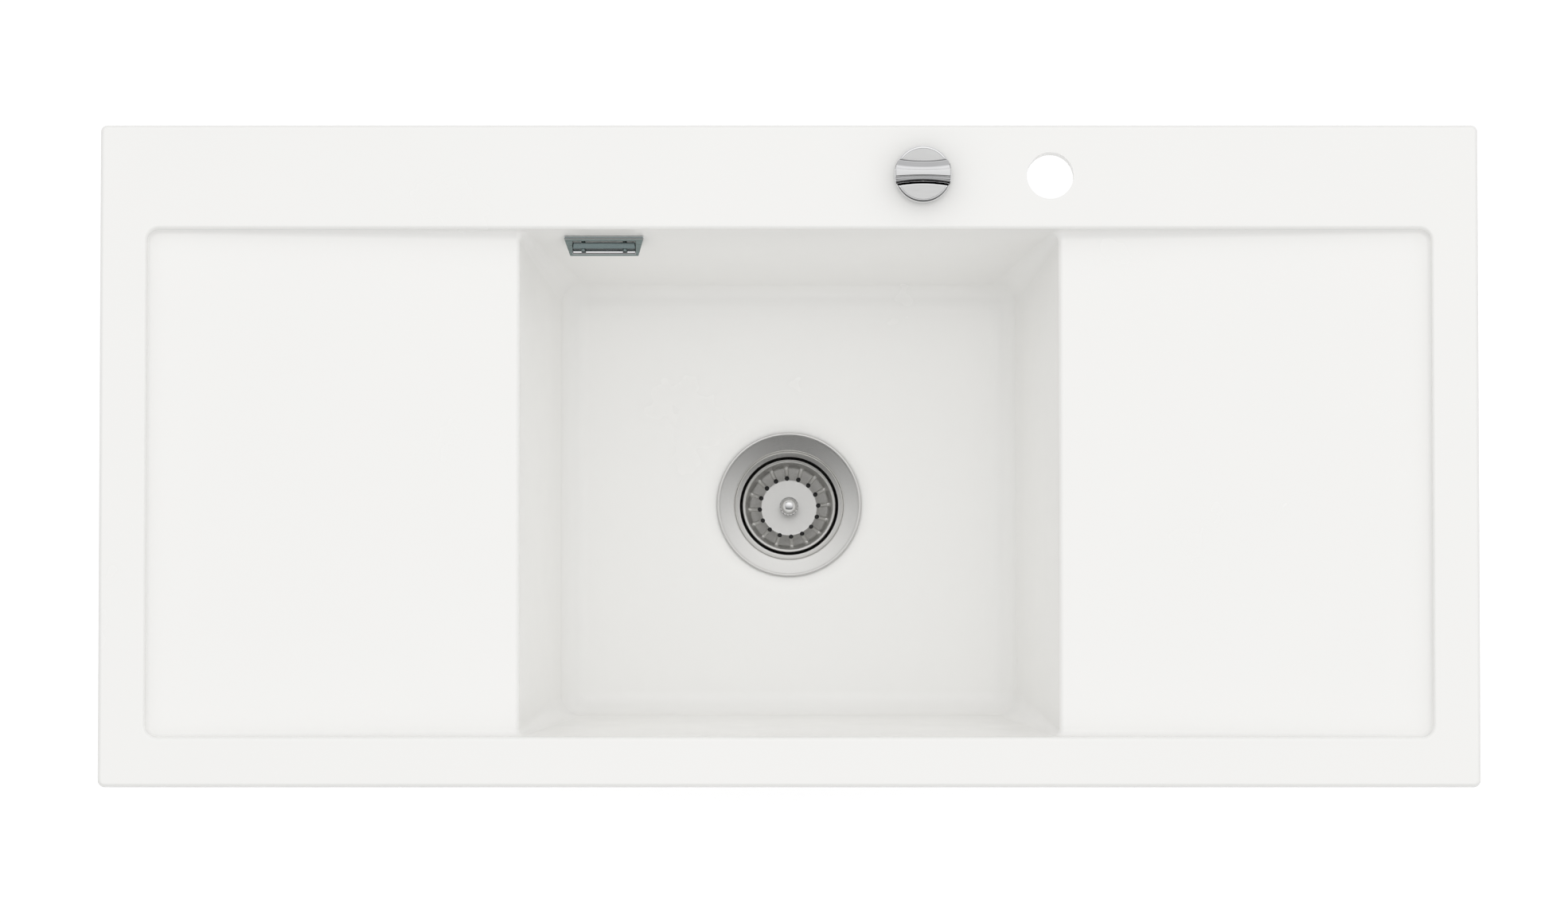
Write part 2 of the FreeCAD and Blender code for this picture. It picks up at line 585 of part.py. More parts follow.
def waste_body():
    """Cup under the bowl with the overflow's spigot, the lever's boss and pockets for the spider."""
    cup_inside = "cup_radius - cup_wall"
    flange_low = "body_top - body_flange_thickness"
    hole = "outlet_neck + shaft_fit"
    body = turned("waste_body", [
        (cup_inside, "body_top"), ("body_flange_radius", "body_top"),
        ("body_flange_radius", flange_low), ("cup_radius", flange_low),
        ("cup_radius", "cup_floor - cup_wall"), (hole, "cup_floor - cup_wall"),
        (hole, "cup_floor"), (cup_inside, "cup_floor"),
    ], turn=ACTUATOR_TURN)
    for profile in spider_arms("fit_gap"):
        sketch = sketch_on(body, "XY_Plane", "spider_low - fit_gap")
        rectangle(sketch, *profile)
        pocket(body, sketch, "spider_thickness + 2 * fit_gap")
    # boss and bore for the lever shaft, on the side where the cable arrives
    start = "sqrt((cup_radius - cup_wall)^2 - lever_arm^2) - overcut"
    sketch = sketch_on(body, "XZ_Plane", start)
    circle(sketch, ("lever_arm", "lever_level"), "boss_radius")
    pad(body, sketch, f"boss_end - ({start})")
    sketch = sketch_on(body, "XZ_Plane", "0")
    circle(sketch, ("lever_arm", "lever_level"), "shaft_radius + running_gap")
    pocket(body, sketch, "boss_end + overcut")
    sketch = sketch_on(body, "XZ_Plane", "boss_end - seal_pocket_depth")
    circle(sketch, ("lever_arm", "lever_level"), "seal_ring_radius + shaft_fit")
    pocket(body, sketch, "seal_pocket_depth + overcut")
    # overflow spigot, turned towards the overflow
    for radius, begin, action in (("spigot_radius", "cup_radius - cup_wall / 2", pad),
                                  ("spigot_bore", "sump_radius", pocket)):
        sketch = sketch_on(body, "YZ_Plane", "0")
        circle(sketch, ("0", "hose_level"), radius)
        place_spigot(sketch, begin)
        action(body, sketch, f"body_spigot_end - ({begin})")


def spider_arms(gap="0"):
    """Left, right, low and high of the spider's two bars, whose ends reach halfway into the cup's wall."""
    reach, half = f"(cup_radius - cup_wall / 2 + {gap})", f"(spider_arm / 2 + {gap})"
    return [(f"-{reach}", reach, f"-{half}", half), (f"-{half}", half, f"-{reach}", reach)]


def body_spider():
    """Cross in the cup that holds the centre screw's insert."""
    body = new_body("body_spider", DRAIN, ACTUATOR_TURN)
    for profile in spider_arms():
        sketch = sketch_on(body, "XY_Plane", "spider_low")
        rectangle(sketch, *profile)
        pad(body, sketch, "spider_thickness")
    for radius, action in (("spider_hub_radius", pad), ("insert_radius + shaft_fit", pocket)):
        sketch = sketch_on(body, "XY_Plane", "spider_low")
        circle(sketch, ("0", "0"), radius)
        action(body, sketch, "spider_thickness")


def place_spigot(sketch, distance):
    """Swing an upright sketch plane round the drain to face the overflow."""
    turn = f"({HOSE_TURN}) - ({ACTUATOR_TURN})"
    sketch.AttachmentOffset = FreeCAD.Placement(
        FreeCAD.Vector(0, 0, 1), FreeCAD.Rotation(FreeCAD.Vector(0, 1, 0), START_TURN))
    sketch.setExpression("AttachmentOffset.Rotation.Angle", bound(turn))
    sketch.setExpression("AttachmentOffset.Base.x", bound(f"({distance}) * sin({turn})"))
    sketch.setExpression("AttachmentOffset.Base.z", bound(f"({distance}) * cos({turn})"))


def waste_fixings():
    """Gasket under the bowl, outlet tube, the hollow centre screw, its insert and the pin inside it."""
    shoulder = "cup_floor - cup_wall"
    turned("outlet_tube", [
        ("outlet_bore", "outlet_end"), ("outlet_radius", "outlet_end"), ("outlet_radius", shoulder),
        ("outlet_neck", shoulder), ("outlet_neck", "cup_floor"), ("outlet_bore", "cup_floor"),
    ])
    ring("body_gasket", "waste_hole_radius + gasket_inset / 2", "body_flange_radius - gasket_inset",
         "body_top", "underside")
    bore = "pin_radius + pin_clearance"
    head = "hub_top + screw_head_thickness"
    turned("centre_screw", [
        (bore, head), ("screw_head_radius", head), ("screw_head_radius", "hub_top"),
        ("screw_radius", "hub_top"), ("screw_radius", "spider_low"), (bore, "spider_low"),
    ])
    ring("screw_insert", "screw_radius + shaft_fit", "insert_radius", "spider_low", "spider_top")
    foot = "pin_low + pin_foot_thickness"
    turned("lift_pin", [
        ("0", "pin_low"), ("pin_foot_radius", "pin_low"), ("pin_foot_radius", foot),
        ("pin_radius", foot), ("pin_radius", "post_low - running_gap"),
        ("0", "post_low - running_gap"),
    ])


# ------------------------------------------------------------------ basket
def strainer_basket():
    """Pressed cup with a flat rim and slots up its sloping wall."""
    base = "basket_under + basket_sheet"
    body = turned("strainer_basket", [
        ("post_radius + shaft_fit", "basket_under"), ("post_radius + shaft_fit", base),
        ("basket_base_radius", base), ("basket_mouth_radius", "basket_top"),
        ("basket_rim_radius", "basket_top"), ("basket_rim_radius", "basket_top - basket_sheet"),
        ("basket_mouth_radius + basket_wall_run", "basket_top - basket_sheet"),
        ("basket_base_radius + basket_wall_run", "basket_under"),
    ])
    body.Placement.Rotation = FreeCAD.Rotation(FreeCAD.Vector(0, 0, 1), START_TURN)
    body.setExpression("Placement.Rotation.Angle", bound("slot_turn"))
    sketch = sketch_on(body, "XY_Plane", "basket_under - overcut")
    rectangle(sketch, "basket_base_radius - slot_width / 2", "basket_mouth_radius - slot_margin",
              "-slot_width / 2", "slot_width / 2")
    slot = pocket(body, sketch, "basket_height + 2 * overcut")
    repeat(body, slot, "slot_count")


def basket_fittings():
    """Post, polished ball, rubber seal disc and the nut below them."""
    base = "basket_under + basket_sheet"
    post_top = "ball_level - ball_radius + ball_bore_depth"
    turned("basket_post", [
        ("0", "post_low"), ("post_radius", "post_low"), ("post_radius", base),
        ("post_collar_radius", base), ("post_collar_radius", f"{base} + post_collar_thickness"),
        ("post_radius", f"{base} + post_collar_thickness"), ("post_radius", post_top), ("0", post_top),
    ])
    ring("basket_seal", "post_radius + shaft_fit", "seal_radius", "seal_low", "basket_under")
    hex_nut("basket_nut", "basket_nut_flats", "post_radius + shaft_fit", "post_low", "basket_nut_thickness")
    ball = doc.addObject("Part::Sphere", "ball_solid")
    ball.setExpression("Radius", bound("ball_radius"))
    for axis, rule in zip("xyz", ("drain_x", "drain_y", "ball_level")):
        ball.setExpression("Placement.Base." + axis, bound(rule))
    cut = doc.addObject("Part::Cut", "lift_ball")
    cut.Label = "lift_ball"
    cut.Base = ball
    cut.Tool = upright("ball_bore", "post_radius + shaft_fit", "ball_level - 2 * ball_radius",
                       post_top, ("drain_x", "drain_y"))


# ------------------------------------------------------------------ lever and actuator case
def lift_lever():
    body = new_body("lift_lever", DRAIN, ACTUATOR_TURN)
    for centre, radius in (("lever_arm", "lever_hub_radius"), ("0", "lever_half")):
        sketch = sketch_on(body, "XZ_Plane", "-lever_half")
        circle(sketch, (centre, "lever_level"), radius)
        pad(body, sketch, "2 * lever_half")
        if radius == "lever_hub_radius":
            sketch = sketch_on(body, "XZ_Plane", "-lever_half")
            rectangle(sketch, "0", "lever_arm", "lever_level - lever_half", "lever_level + lever_half")
            pad(body, sketch, "2 * lever_half")
    sketch = sketch_on(body, "XZ_Plane", "-2 * lever_half")
    circle(sketch, ("lever_arm", "lever_level"), "shaft_radius + shaft_fit")
    pocket(body, sketch, "4 * lever_half")


def lever_shaft():
    body = new_body("lever_shaft", DRAIN, ACTUATOR_TURN)
    sketch = sketch_on(body, "XZ_Plane", "-lever_half")
    circle(sketch, ("lever_arm", "lever_level"), "shaft_radius")
    pad(body, sketch, "crank_side + crank_thickness + lever_half")


def crank_arm():
    """Arm on the shaft's outer end: the pin that the cable pulls, and a tail to balance the lever."""
    body = new_body("crank_arm", DRAIN, ACTUATOR_TURN)
    sketch = sketch_on(body, "XZ_Plane", "crank_side")
    circle(sketch, ("lever_arm", "lever_level"), "crank_hub_radius")
    pad(body, sketch, "crank_thickness")
    tip = "lever_arm + crank_tail"
    for profile, end in (
            (("lever_arm - crank_half", "lever_arm + crank_half", "lever_level", "cable_level"),
             ("lever_arm", "cable_level")),
            (("lever_arm", tip, "lever_level - crank_half", "lever_level + crank_half"),
             (tip, "lever_level"))):
        sketch = sketch_on(body, "XZ_Plane", "crank_side")
        rectangle(sketch, *profile)
        pad(body, sketch, "crank_thickness")
        sketch = sketch_on(body, "XZ_Plane", "crank_side")
        circle(sketch, end, "crank_half")
        pad(body, sketch, "crank_thickness")
    sketch = sketch_on(body, "XZ_Plane", "crank_side + crank_thickness / 2")
    circle(sketch, ("lever_arm", "cable_level"), "crank_pin_radius")
    pad(body, sketch, "crank_thickness / 2 + crank_pin_length")
    sketch = sketch_on(body, "XZ_Plane", "crank_side - overcut")
    circle(sketch, ("lever_arm", "lever_level"), "shaft_radius + shaft_fit")
    pocket(body, sketch, "crank_thickness + 2 * overcut")


def wire_eye():
    """Slotted plate over the crank pin, with the straight end of the pull wire."""
    body = new_body("wire_eye", DRAIN, ACTUATOR_TURN)
    sketch = sketch_on(body, "XZ_Plane", "eye_side")
    rectangle(sketch, "lever_arm - eye_half", "lever_arm + eye_half",
              "cable_level - eye_half", "cable_level + eye_half")
    gap = "crank_pin_radius + running_gap"
    rectangle(sketch, f"lever_arm - ({gap})", f"lever_arm + {gap}",
              f"cable_level - ({gap}) - eye_slot_drop", f"cable_level + {gap}")
    pad(body, sketch, "eye_thickness")
    start = "lever_arm + eye_half - overcut / 2"
    sketch = sketch_on(body, "YZ_Plane", start)
    circle(sketch, ("-cable_side", "cable_level"), "wire_radius")
    pad(body, sketch, f"ferrule_end + wire_overlap / 3 - ({start})")


def shaft_seals():
    """Two rubber rings in the boss round the lever shaft."""
    seals = []
    for step, name in enumerate(("inner_seal", "outer_seal")):
        outer = upright(name + "_disc", "seal_ring_radius", "0", "seal_ring_width", ("0", "0"))
        inner = upright(name + "_bore", "shaft_radius + shaft_fit", "-overcut",
                        "seal_ring_width + overcut", ("0", "0"))
        disc = doc.addObject("Part::Cut", name)
        disc.Base = outer
        disc.Tool = inner
        lay_on_shaft(disc, f"boss_end - seal_pocket_depth + fit_gap + {step} * seal_ring_pitch")
        seals.append(disc)
    group = doc.addObject("Part::Compound", "shaft_seals")
    group.Label = "shaft_seals"
    group.Links = seals


def lay_on_shaft(item, side, along="lever_arm", level="lever_level"):
    """Turn an upright piece to lie on the actuator's cross axis, at a distance from the drain."""
    turn = value(ACTUATOR_TURN)
    spin = FreeCAD.Rotation(FreeCAD.Vector(0, 0, 1), turn)
    item.Placement.Rotation = spin.multiply(FreeCAD.Rotation(FreeCAD.Vector(1, 0, 0), 90))
    item.setExpression("Placement.Base.x", bound(
        f"drain_x + ({along}) * cos({ACTUATOR_TURN}) + ({side}) * sin({ACTUATOR_TURN})"))
    item.setExpression("Placement.Base.y", bound(
        f"drain_y + ({along}) * sin({ACTUATOR_TURN}) - ({side}) * cos({ACTUATOR_TURN})"))
    item.setExpression("Placement.Base.z", bound(level))


def case_outline(sketch, wall="0", end_wall="0"):
    rectangle(sketch, f"lever_arm - case_front + {end_wall}", f"case_end - {end_wall}",
              f"lever_level - case_below + {wall}", f"lever_level + case_above - {wall}")


def lid_screw_places():
    """Middle of the case's two end walls, below the shaft."""
    return [("lever_arm - case_front + case_end_wall / 2", "lever_level - lid_screw_drop"),
            ("case_end - case_end_wall / 2", "lever_level - lid_screw_drop")]


def actuator_case():
    """Box round the crank, its lid and the lid's two screws."""
    body = new_body("actuator_case", DRAIN, ACTUATOR_TURN)
    sketch = sketch_on(body, "XZ_Plane", "case_side")
    case_outline(sketch)
    pad(body, sketch, "case_depth")
    sketch = sketch_on(body, "XZ_Plane", "case_side + case_wall")
    case_outline(sketch, "case_wall", "case_end_wall")
    pocket(body, sketch, "case_depth")
    sketch = sketch_on(body, "XZ_Plane", "case_side - overcut")
    circle(sketch, ("lever_arm", "lever_level"), "shaft_radius + running_gap")
    pocket(body, sketch, "case_wall + 2 * overcut")
    sketch = sketch_on(body, "YZ_Plane", "case_end - case_end_wall - overcut")
    circle(sketch, ("-cable_side", "cable_level"), "sheath_radius + fit_gap")
    pocket(body, sketch, "case_end_wall + 2 * overcut")
    sketch = sketch_on(body, "XZ_Plane", "case_outside - lid_screw_length + case_wall - fit_gap")
    for place in lid_screw_places():
        circle(sketch, place, "lid_screw_radius + shaft_fit")
    pocket(body, sketch, "lid_screw_length")

    lid = new_body("actuator_lid", DRAIN, ACTUATOR_TURN)
    sketch = sketch_on(lid, "XZ_Plane", "case_outside")
    case_outline(sketch)
    for place in lid_screw_places():
        circle(sketch, place, "lid_screw_radius + shaft_fit")
    pad(lid, sketch, "case_wall")

    screws = []
    for number, (along, level) in enumerate(lid_screw_places(), start=1):
        name = f"lid_screw_{number}"
        shank = upright(name + "_shank", "lid_screw_radius", "0", "lid_screw_length", ("0", "0"))
        head = upright(name + "_head", "2 * lid_screw_radius", "-lid_screw_radius", "0", ("0", "0"))
        screw = doc.addObject("Part::Fuse", name)
        screw.Base = shank
        screw.Tool = head
        lay_on_shaft(screw, "case_outside + case_wall", along, level)
        flip = FreeCAD.Rotation(FreeCAD.Vector(1, 0, 0), 180)
        screw.Placement.Rotation = screw.Placement.Rotation.multiply(flip)
        screws.append(screw)
    group = doc.addObject("Part::Compound", "actuator_screws")
    group.Label = "actuator_screws"
    group.Links = screws


# ------------------------------------------------------------------ cable
def bent_run(label, turn, side, reach, level, top, end, bend, radius, bore=None):
    """A round section that drops, bends once and runs level towards the drain."""
    body = new_body(label, DRAIN, turn)
    for index, size in enumerate([radius, bore] if bore else [radius]):
        path = sketch_on(body, "XZ_Plane", side)
        fill_path(path, reach, level, top, end, bend)
        section = sketch_on(body, "XY_Plane", top)
        circle(section, (reach, f"-({side})"), size)
        kind = "PartDesign::SubtractivePipe" if index else "PartDesign::AdditivePipe"
        pipe = body.newObject(kind, "Run")
        pipe.Profile = section
        pipe.Spine = (path, [])
    return body


def fill_path(sketch, reach, level, top, end, bend):
    """Drop, quarter bend and level run; each length is bound, and the bend meets both runs."""
    far, low, high, near, arc = (value(rule) for rule in (reach, level, top, end, bend))
    middle = FreeCAD.Vector(far - arc, low + arc, 0)
    sketch.addGeometry(Part.LineSegment(FreeCAD.Vector(far, high, 0), FreeCAD.Vector(far, low + arc, 0)))
    ring_line = Part.Circle(middle, FreeCAD.Vector(0, 0, 1), arc)
    sketch.addGeometry(Part.ArcOfCircle(ring_line, -math.pi / 2, 0))
    sketch.addGeometry(Part.LineSegment(FreeCAD.Vector(far - arc, low, 0), FreeCAD.Vector(near, low, 0)))
    sketch.addConstraint(Sketcher.Constraint("Coincident", 0, 2, 1, 2))
    sketch.addConstraint(Sketcher.Constraint("Coincident", 1, 1, 2, 1))
    pin_point(sketch, 0, 1, (reach, top))
    pin_point(sketch, 1, 3, (f"({reach}) - ({bend})", f"({level}) + ({bend})"))
    pin_point(sketch, 2, 2, (end, level))
    sketch.addConstraint(Sketcher.Constraint("Vertical", 0))
    sketch.addConstraint(Sketcher.Constraint("Horizontal", 2))
    held = sketch.addConstraint(Sketcher.Constraint("Radius", 1, arc))
    sketch.setExpression(f"Constraints[{held}]", bound(bend))


def cable():
    """Sheath, the wire inside it and the ferrules that hold the sheath's two ends."""
    bent_run("cable_sheath", ACTUATOR_TURN, "cable_side", "cable_reach", "cable_level", "sheath_top",
             "sheath_start", "cable_bend", "sheath_radius", "sheath_bore")
    bent_run("cable_wire", ACTUATOR_TURN, "cable_side", "cable_reach", "cable_level",
             "sheath_top - 2 * wire_overlap", "sheath_start + 2 * wire_overlap", "cable_bend",
             "wire_radius")
    tight = "sheath_radius + fit_gap / 2"
    small = "wire_radius + running_gap"
    turned("upper_ferrule", [
        (small, "pull_case_low"), ("sheath_radius", "pull_case_low"),
        ("sheath_radius", "pull_lid_low - case_gap"), ("ferrule_radius", "pull_lid_low - case_gap"),
        ("ferrule_radius", "ferrule_low"), (tight, "ferrule_low"),
        (tight, "ferrule_low + ferrule_socket"), (small, "ferrule_low + ferrule_socket"),
    ], at=KNOB)
    body = new_body("lower_ferrule", DRAIN, ACTUATOR_TURN)
    centre = ("-cable_side", "cable_level")
    for start, end, radius in (("case_end - case_end_wall", "case_end + overcut", "sheath_radius"),
                               ("case_end + case_gap", "ferrule_end", "ferrule_radius")):
        sketch = sketch_on(body, "YZ_Plane", start)
        circle(sketch, centre, radius)
        pad(body, sketch, f"{end} - ({start})")
    for start, end, radius in (("case_end - case_end_wall - overcut", "ferrule_end", small),
                               ("ferrule_end - ferrule_socket", "ferrule_end + overcut", tight)):
        sketch = sketch_on(body, "YZ_Plane", start)
        circle(sketch, centre, radius)
        pocket(body, sketch, f"{end} - ({start})")


# ------------------------------------------------------------------ knob and under-deck parts
def knob_cap():
    """Round cap with a raised, waisted grip bar, hollow for the spindle stub."""
    bore = "stub_radius + shaft_fit"
    body = turned("knob_cap", [
        (bore, "knob_low"), ("knob_radius", "knob_low"), ("knob_radius", "knob_face - knob_bevel"),
        ("knob_radius - knob_bevel", "knob_face"), (bore, "knob_face"),
    ], at=KNOB)
    sketch = sketch_on(body, "XY_Plane", "knob_face - grip_root")
    mid = "grip_half_length / 2"
    nose = "grip_half_length - grip_half_width / 2"
    flare = "grip_waist + grip_flare"
    outline(sketch, [
        (nose, "-grip_half_width"), ("grip_half_length", "-grip_half_width / 2"),
        ("grip_half_length", "grip_half_width / 2"), (nose, "grip_half_width"),
        (mid, flare), ("0", "grip_waist"), (f"-({mid})", flare),
        (f"-({nose})", "grip_half_width"), ("-grip_half_length", "grip_half_width / 2"),
        ("-grip_half_length", "-grip_half_width / 2"), (f"-({nose})", "-grip_half_width"),
        (f"-({mid})", f"-({flare})"), ("0", "-grip_waist"), (mid, f"-({flare})"),
    ])
    pad(body, sketch, "grip_height + grip_root")
    sketch = sketch_on(body, "XY_Plane", "knob_low - overcut")
    circle(sketch, ("0", "0"), bore)
    pocket(body, sketch, "stub_top + running_gap - knob_low + overcut")
    sketch = sketch_on(body, "XZ_Plane", "0")
    circle(sketch, ("0", "knob_low + grub_height"), "grub_radius + shaft_fit")
    pocket(body, sketch, "knob_radius + overcut")


def knob_parts():
    """Spindle, its clip and grub screw, and the ring under the cap."""
    journal = "bushing_bore - shaft_fit"
    step = "-bushing_length - running_gap"
    turned("knob_spindle", [
        ("0", "stub_top"), ("stub_radius", "stub_top"), ("stub_radius", "bushing_top"),
        (journal, "bushing_top"), (journal, step), ("spindle_radius", step),
        ("spindle_radius", "-spindle_end"), ("0", "-spindle_end"),
    ], at=KNOB)
    ring("spindle_clip", "spindle_radius + shaft_fit", "clip_radius",
         f"{step} - clip_thickness - fit_gap", f"{step} - fit_gap", at=KNOB)
    screw = new_body("knob_grub_screw", KNOB)
    sketch = sketch_on(screw, "XZ_Plane", "stub_radius + fit_gap")
    circle(sketch, ("0", "knob_low + grub_height"), "grub_radius")
    pad(screw, sketch, "grub_length")
    ring("knob_collar", "knob_radius - collar_wall", "knob_radius", "collar_low",
         "collar_low + collar_height", at=KNOB)
    ring("collar_gasket", "bushing_radius + running_gap", "knob_radius - collar_wall / 2",
         "rim_thickness", "collar_low", at=KNOB)


def under_deck():
    """Threaded bushing through the deck, washer, nut, pull case, lid and slider."""
    turned("deck_bushing", [
        ("bushing_bore", "bushing_top"), ("knob_radius - collar_wall - fit_gap", "bushing_top"),
        ("knob_radius - collar_wall - fit_gap", "collar_low"), ("bushing_radius", "collar_low"),
        ("bushing_radius", "-bushing_length"), ("bushing_bore", "-bushing_length"),
    ], at=KNOB)
    ring("deck_washer", "bushing_radius + running_gap", "washer_radius",
         "-skirt_depth - washer_thickness", "-skirt_depth", at=KNOB)
    hex_nut("deck_nut", "deck_nut_flats", "bushing_radius + shaft_fit",
            "-skirt_depth - washer_thickness - deck_nut_thickness", "deck_nut_thickness", at=KNOB)
    shoulder = "-bushing_length - running_gap"
    grip = "bushing_radius + shaft_fit"
    turned("pull_case", [
        (grip, "pull_case_top"), ("pull_case_radius", "pull_case_top"),
        ("pull_case_radius", "pull_case_low"), ("pull_case_bore", "pull_case_low"),
        ("pull_case_bore", shoulder), (grip, shoulder),
    ], at=KNOB)
    ring("pull_case_lid", "sheath_radius + fit_gap", "pull_case_radius", "pull_lid_low",
         "pull_lid_low + pull_lid_thickness", at=KNOB)
    bore = "spindle_radius + fit_gap"
    low = "-slider_top - slider_length"
    turned("pull_slider", [
        (bore, "-slider_top"), ("slider_radius", "-slider_top"), ("slider_radius", low), ("0", low),
        ("0", f"{low} + slider_floor"), (bore, f"{low} + slider_floor"),
    ], at=KNOB)
    turned("slider_wire", [
        ("0", low), ("wire_radius", low), ("wire_radius", "sheath_top - wire_overlap"),
        ("0", "sheath_top - wire_overlap"),
    ], at=KNOB)


# ------------------------------------------------------------------ overflow
def slanted(label, top, low, wall_top, wall_low, gap, depth_top, depth_low, half_top, half_low):
    """A block whose face follows the bowl's leaning back wall; depths are towards the bowl if negative."""
    body = new_body(label, OVERFLOW)
    sections = []
    for level, wall, depth, half in ((low, wall_low, depth_low, half_low),
                                     (top, wall_top, depth_top, half_top)):
        sketch = sketch_on(body, "XY_Plane", level)
        near, far = f"{wall} + {gap}", f"{wall} + {gap} + ({depth})"
        rectangle(sketch, f"-({half})", half, near, far)
        sections.append(sketch)
    loft(body, *sections)
    return body


def window(body, half, low, high, start, length):
    """Cut a rectangle front to back through a block; start is how far in front of Y = 0 it begins."""
    sketch = sketch_on(body, "XZ_Plane", start)
    rectangle(sketch, f"-({half})", half, low, high)
    return pocket(body, sketch, length, backwards=True)


def overflow_bezel():
    """Tapered metal frame that leans out of the bowl's back wall."""
    body = slanted("overflow_bezel", "overflow_high", "overflow_low", "wall_high", "wall_low",
                   "-fit_gap", "-bezel_top_proud", "-bezel_low_proud", "bezel_top_half", "bezel_low_half")
    window(body, "window_half", "overflow_low + bezel_frame", "overflow_high - bezel_frame",
           "bowl_wall - wall_low", "3 * bowl_wall")


def overflow_slat():
    """Bar across the frame that the two screws pull against the wall."""
    body = new_body("overflow_slat", OVERFLOW)
    sketch = sketch_on(body, "XZ_Plane", "fit_gap - wall_low")
    rectangle(sketch, "fit_gap - window_half", "window_half - fit_gap",
              "overflow_mid - slat_thickness", "overflow_mid + slat_thickness")
    pad(body, sketch, "slat_depth")
    sketch = sketch_on(body, "XZ_Plane", "-wall_low")
    for place in ("-overflow_screw_place", "overflow_screw_place"):
        circle(sketch, (place, "overflow_mid"), "overflow_screw_radius + shaft_fit")
    pocket(body, sketch, "slat_depth + overcut")


def overflow_screws():
    """Two screws from the slat through the slot into the elbow behind the wall."""
    screws = []
    for number, side in enumerate(("-", "+"), start=1):
        place = (f"overflow_x {side} overflow_screw_place", "0")
        name = f"overflow_screw_{number}"
        shank = upright(name + "_shank", "overflow_screw_radius", "0", "overflow_screw_length", ("0", "0"))
        head = upright(name + "_head", "slat_thickness - fit_gap", "-overflow_screw_radius", "0",
                       ("0", "0"))
        screw = doc.addObject("Part::Fuse", name)
        screw.Base = shank
        screw.Tool = head
        screw.Placement.Rotation = FreeCAD.Rotation(FreeCAD.Vector(1, 0, 0), -90)
        screw.setExpression("Placement.Base.x", bound(place[0]))
        screw.setExpression("Placement.Base.y", bound("wall_low - fit_gap - slat_depth"))
        screw.setExpression("Placement.Base.z", bound("overflow_mid"))
        screws.append(screw)
    group = doc.addObject("Part::Compound", "overflow_screws")
    group.Label = "overflow_screws"
    group.Links = screws


def overflow_gasket():
    high = "overflow_mid + slot_height / 2 + overflow_gasket_border"
    low = "overflow_mid - slot_height / 2 - overflow_gasket_border"
    outer = "tray_back + bowl_wall - wall_run * (rim_thickness - "
    body = slanted("overflow_gasket", high, low, f"{outer}({high}))", f"{outer}({low}))", "0",
                   "overflow_gasket_thickness", "overflow_gasket_thickness", "elbow_half", "elbow_half")
    window(body, "slot_half", "overflow_mid - slot_height / 2", "overflow_mid + slot_height / 2",
           "bowl_wall - wall_low", "4 * bowl_wall")


def overflow_elbow():
    """Plastic box behind the wall, open to the slot, with a spigot down for the hose."""
    body = new_body("overflow_elbow", OVERFLOW)
    sections = []
    for level, front in (("elbow_low", "elbow_front_low"), ("elbow_high", "elbow_front_high")):
        sketch = sketch_on(body, "XY_Plane", level)
        rectangle(sketch, "-elbow_half", "elbow_half",
                  f"{front} + overflow_gasket_thickness", "elbow_rear")
        sections.append(sketch)
    loft(body, *sections)
    window(body, "slot_half", "overflow_mid - slot_height / 2", "overflow_mid + slot_height / 2",
           "-wall_low", "elbow_rear - elbow_wall - wall_low")
    sketch = sketch_on(body, "XY_Plane", "elbow_low - elbow_spigot_length")
    circle(sketch, ("0", "hose_y"), "spigot_radius")
    pad(body, sketch, "elbow_spigot_length + elbow_wall")
    sketch = sketch_on(body, "XY_Plane", "elbow_low - elbow_spigot_length - overcut")
    circle(sketch, ("0", "hose_y"), "spigot_bore")
    pocket(body, sketch, "overflow_mid - elbow_low + elbow_spigot_length + overcut")
    sketch = sketch_on(body, "XZ_Plane", "-elbow_rear - overcut")
    for place in ("-overflow_screw_place", "overflow_screw_place"):
        circle(sketch, (place, "overflow_mid"), "overflow_screw_radius + shaft_fit")
    pocket(body, sketch, "elbow_wall + 2 * overcut")


def hose():
    """Overflow hose from the elbow to the waste body, and the nut at each end."""
    bent_run("overflow_hose", HOSE_TURN, "0", "hose_reach", "hose_level", "hose_top", "hose_end",
             "hose_bend", "hose_radius", "hose_bore")
    inner = "hose_radius + fit_gap"
    top = "hose_top - hose_nut_inset"
    body = new_body("hose_top_nut", DRAIN, HOSE_TURN)
    sketch = sketch_on(body, "XY_Plane", f"{top} - hose_nut_length")
    circle(sketch, ("hose_reach", "0"), "hose_nut_radius")
    circle(sketch, ("hose_reach", "0"), inner)
    pad(body, sketch, "hose_nut_length")
    body = new_body("hose_bottom_nut", DRAIN, HOSE_TURN)
    sketch = sketch_on(body, "YZ_Plane", "hose_end + hose_nut_inset")
    circle(sketch, ("0", "hose_level"), "hose_nut_radius")
    circle(sketch, ("0", "hose_level"), inner)
    pad(body, sketch, "hose_nut_length")


# ------------------------------------------------------------------ build, check and write
NODES = [
    "sink_basin", "overflow_bezel", "overflow_slat", "overflow_screws", "overflow_gasket",
    "overflow_elbow", "overflow_hose", "hose_top_nut", "hose_bottom_nut", "waste_flange",
    "flange_gasket", "body_gasket", "waste_body", "body_spider", "outlet_tube", "centre_screw",
    "screw_insert", "lift_pin",
    "lift_lever", "lever_shaft", "shaft_seals", "crank_arm", "wire_eye", "actuator_case",
    "actuator_lid", "actuator_screws", "strainer_basket", "lift_ball", "basket_post", "basket_seal",
    "basket_nut", "knob_cap", "knob_grub_screw", "knob_spindle", "spindle_clip", "knob_collar",
    "collar_gasket", "deck_bushing", "deck_washer", "deck_nut", "pull_case", "pull_case_lid",
    "pull_slider", "slider_wire", "upper_ferrule", "lower_ferrule", "cable_sheath", "cable_wire",
]


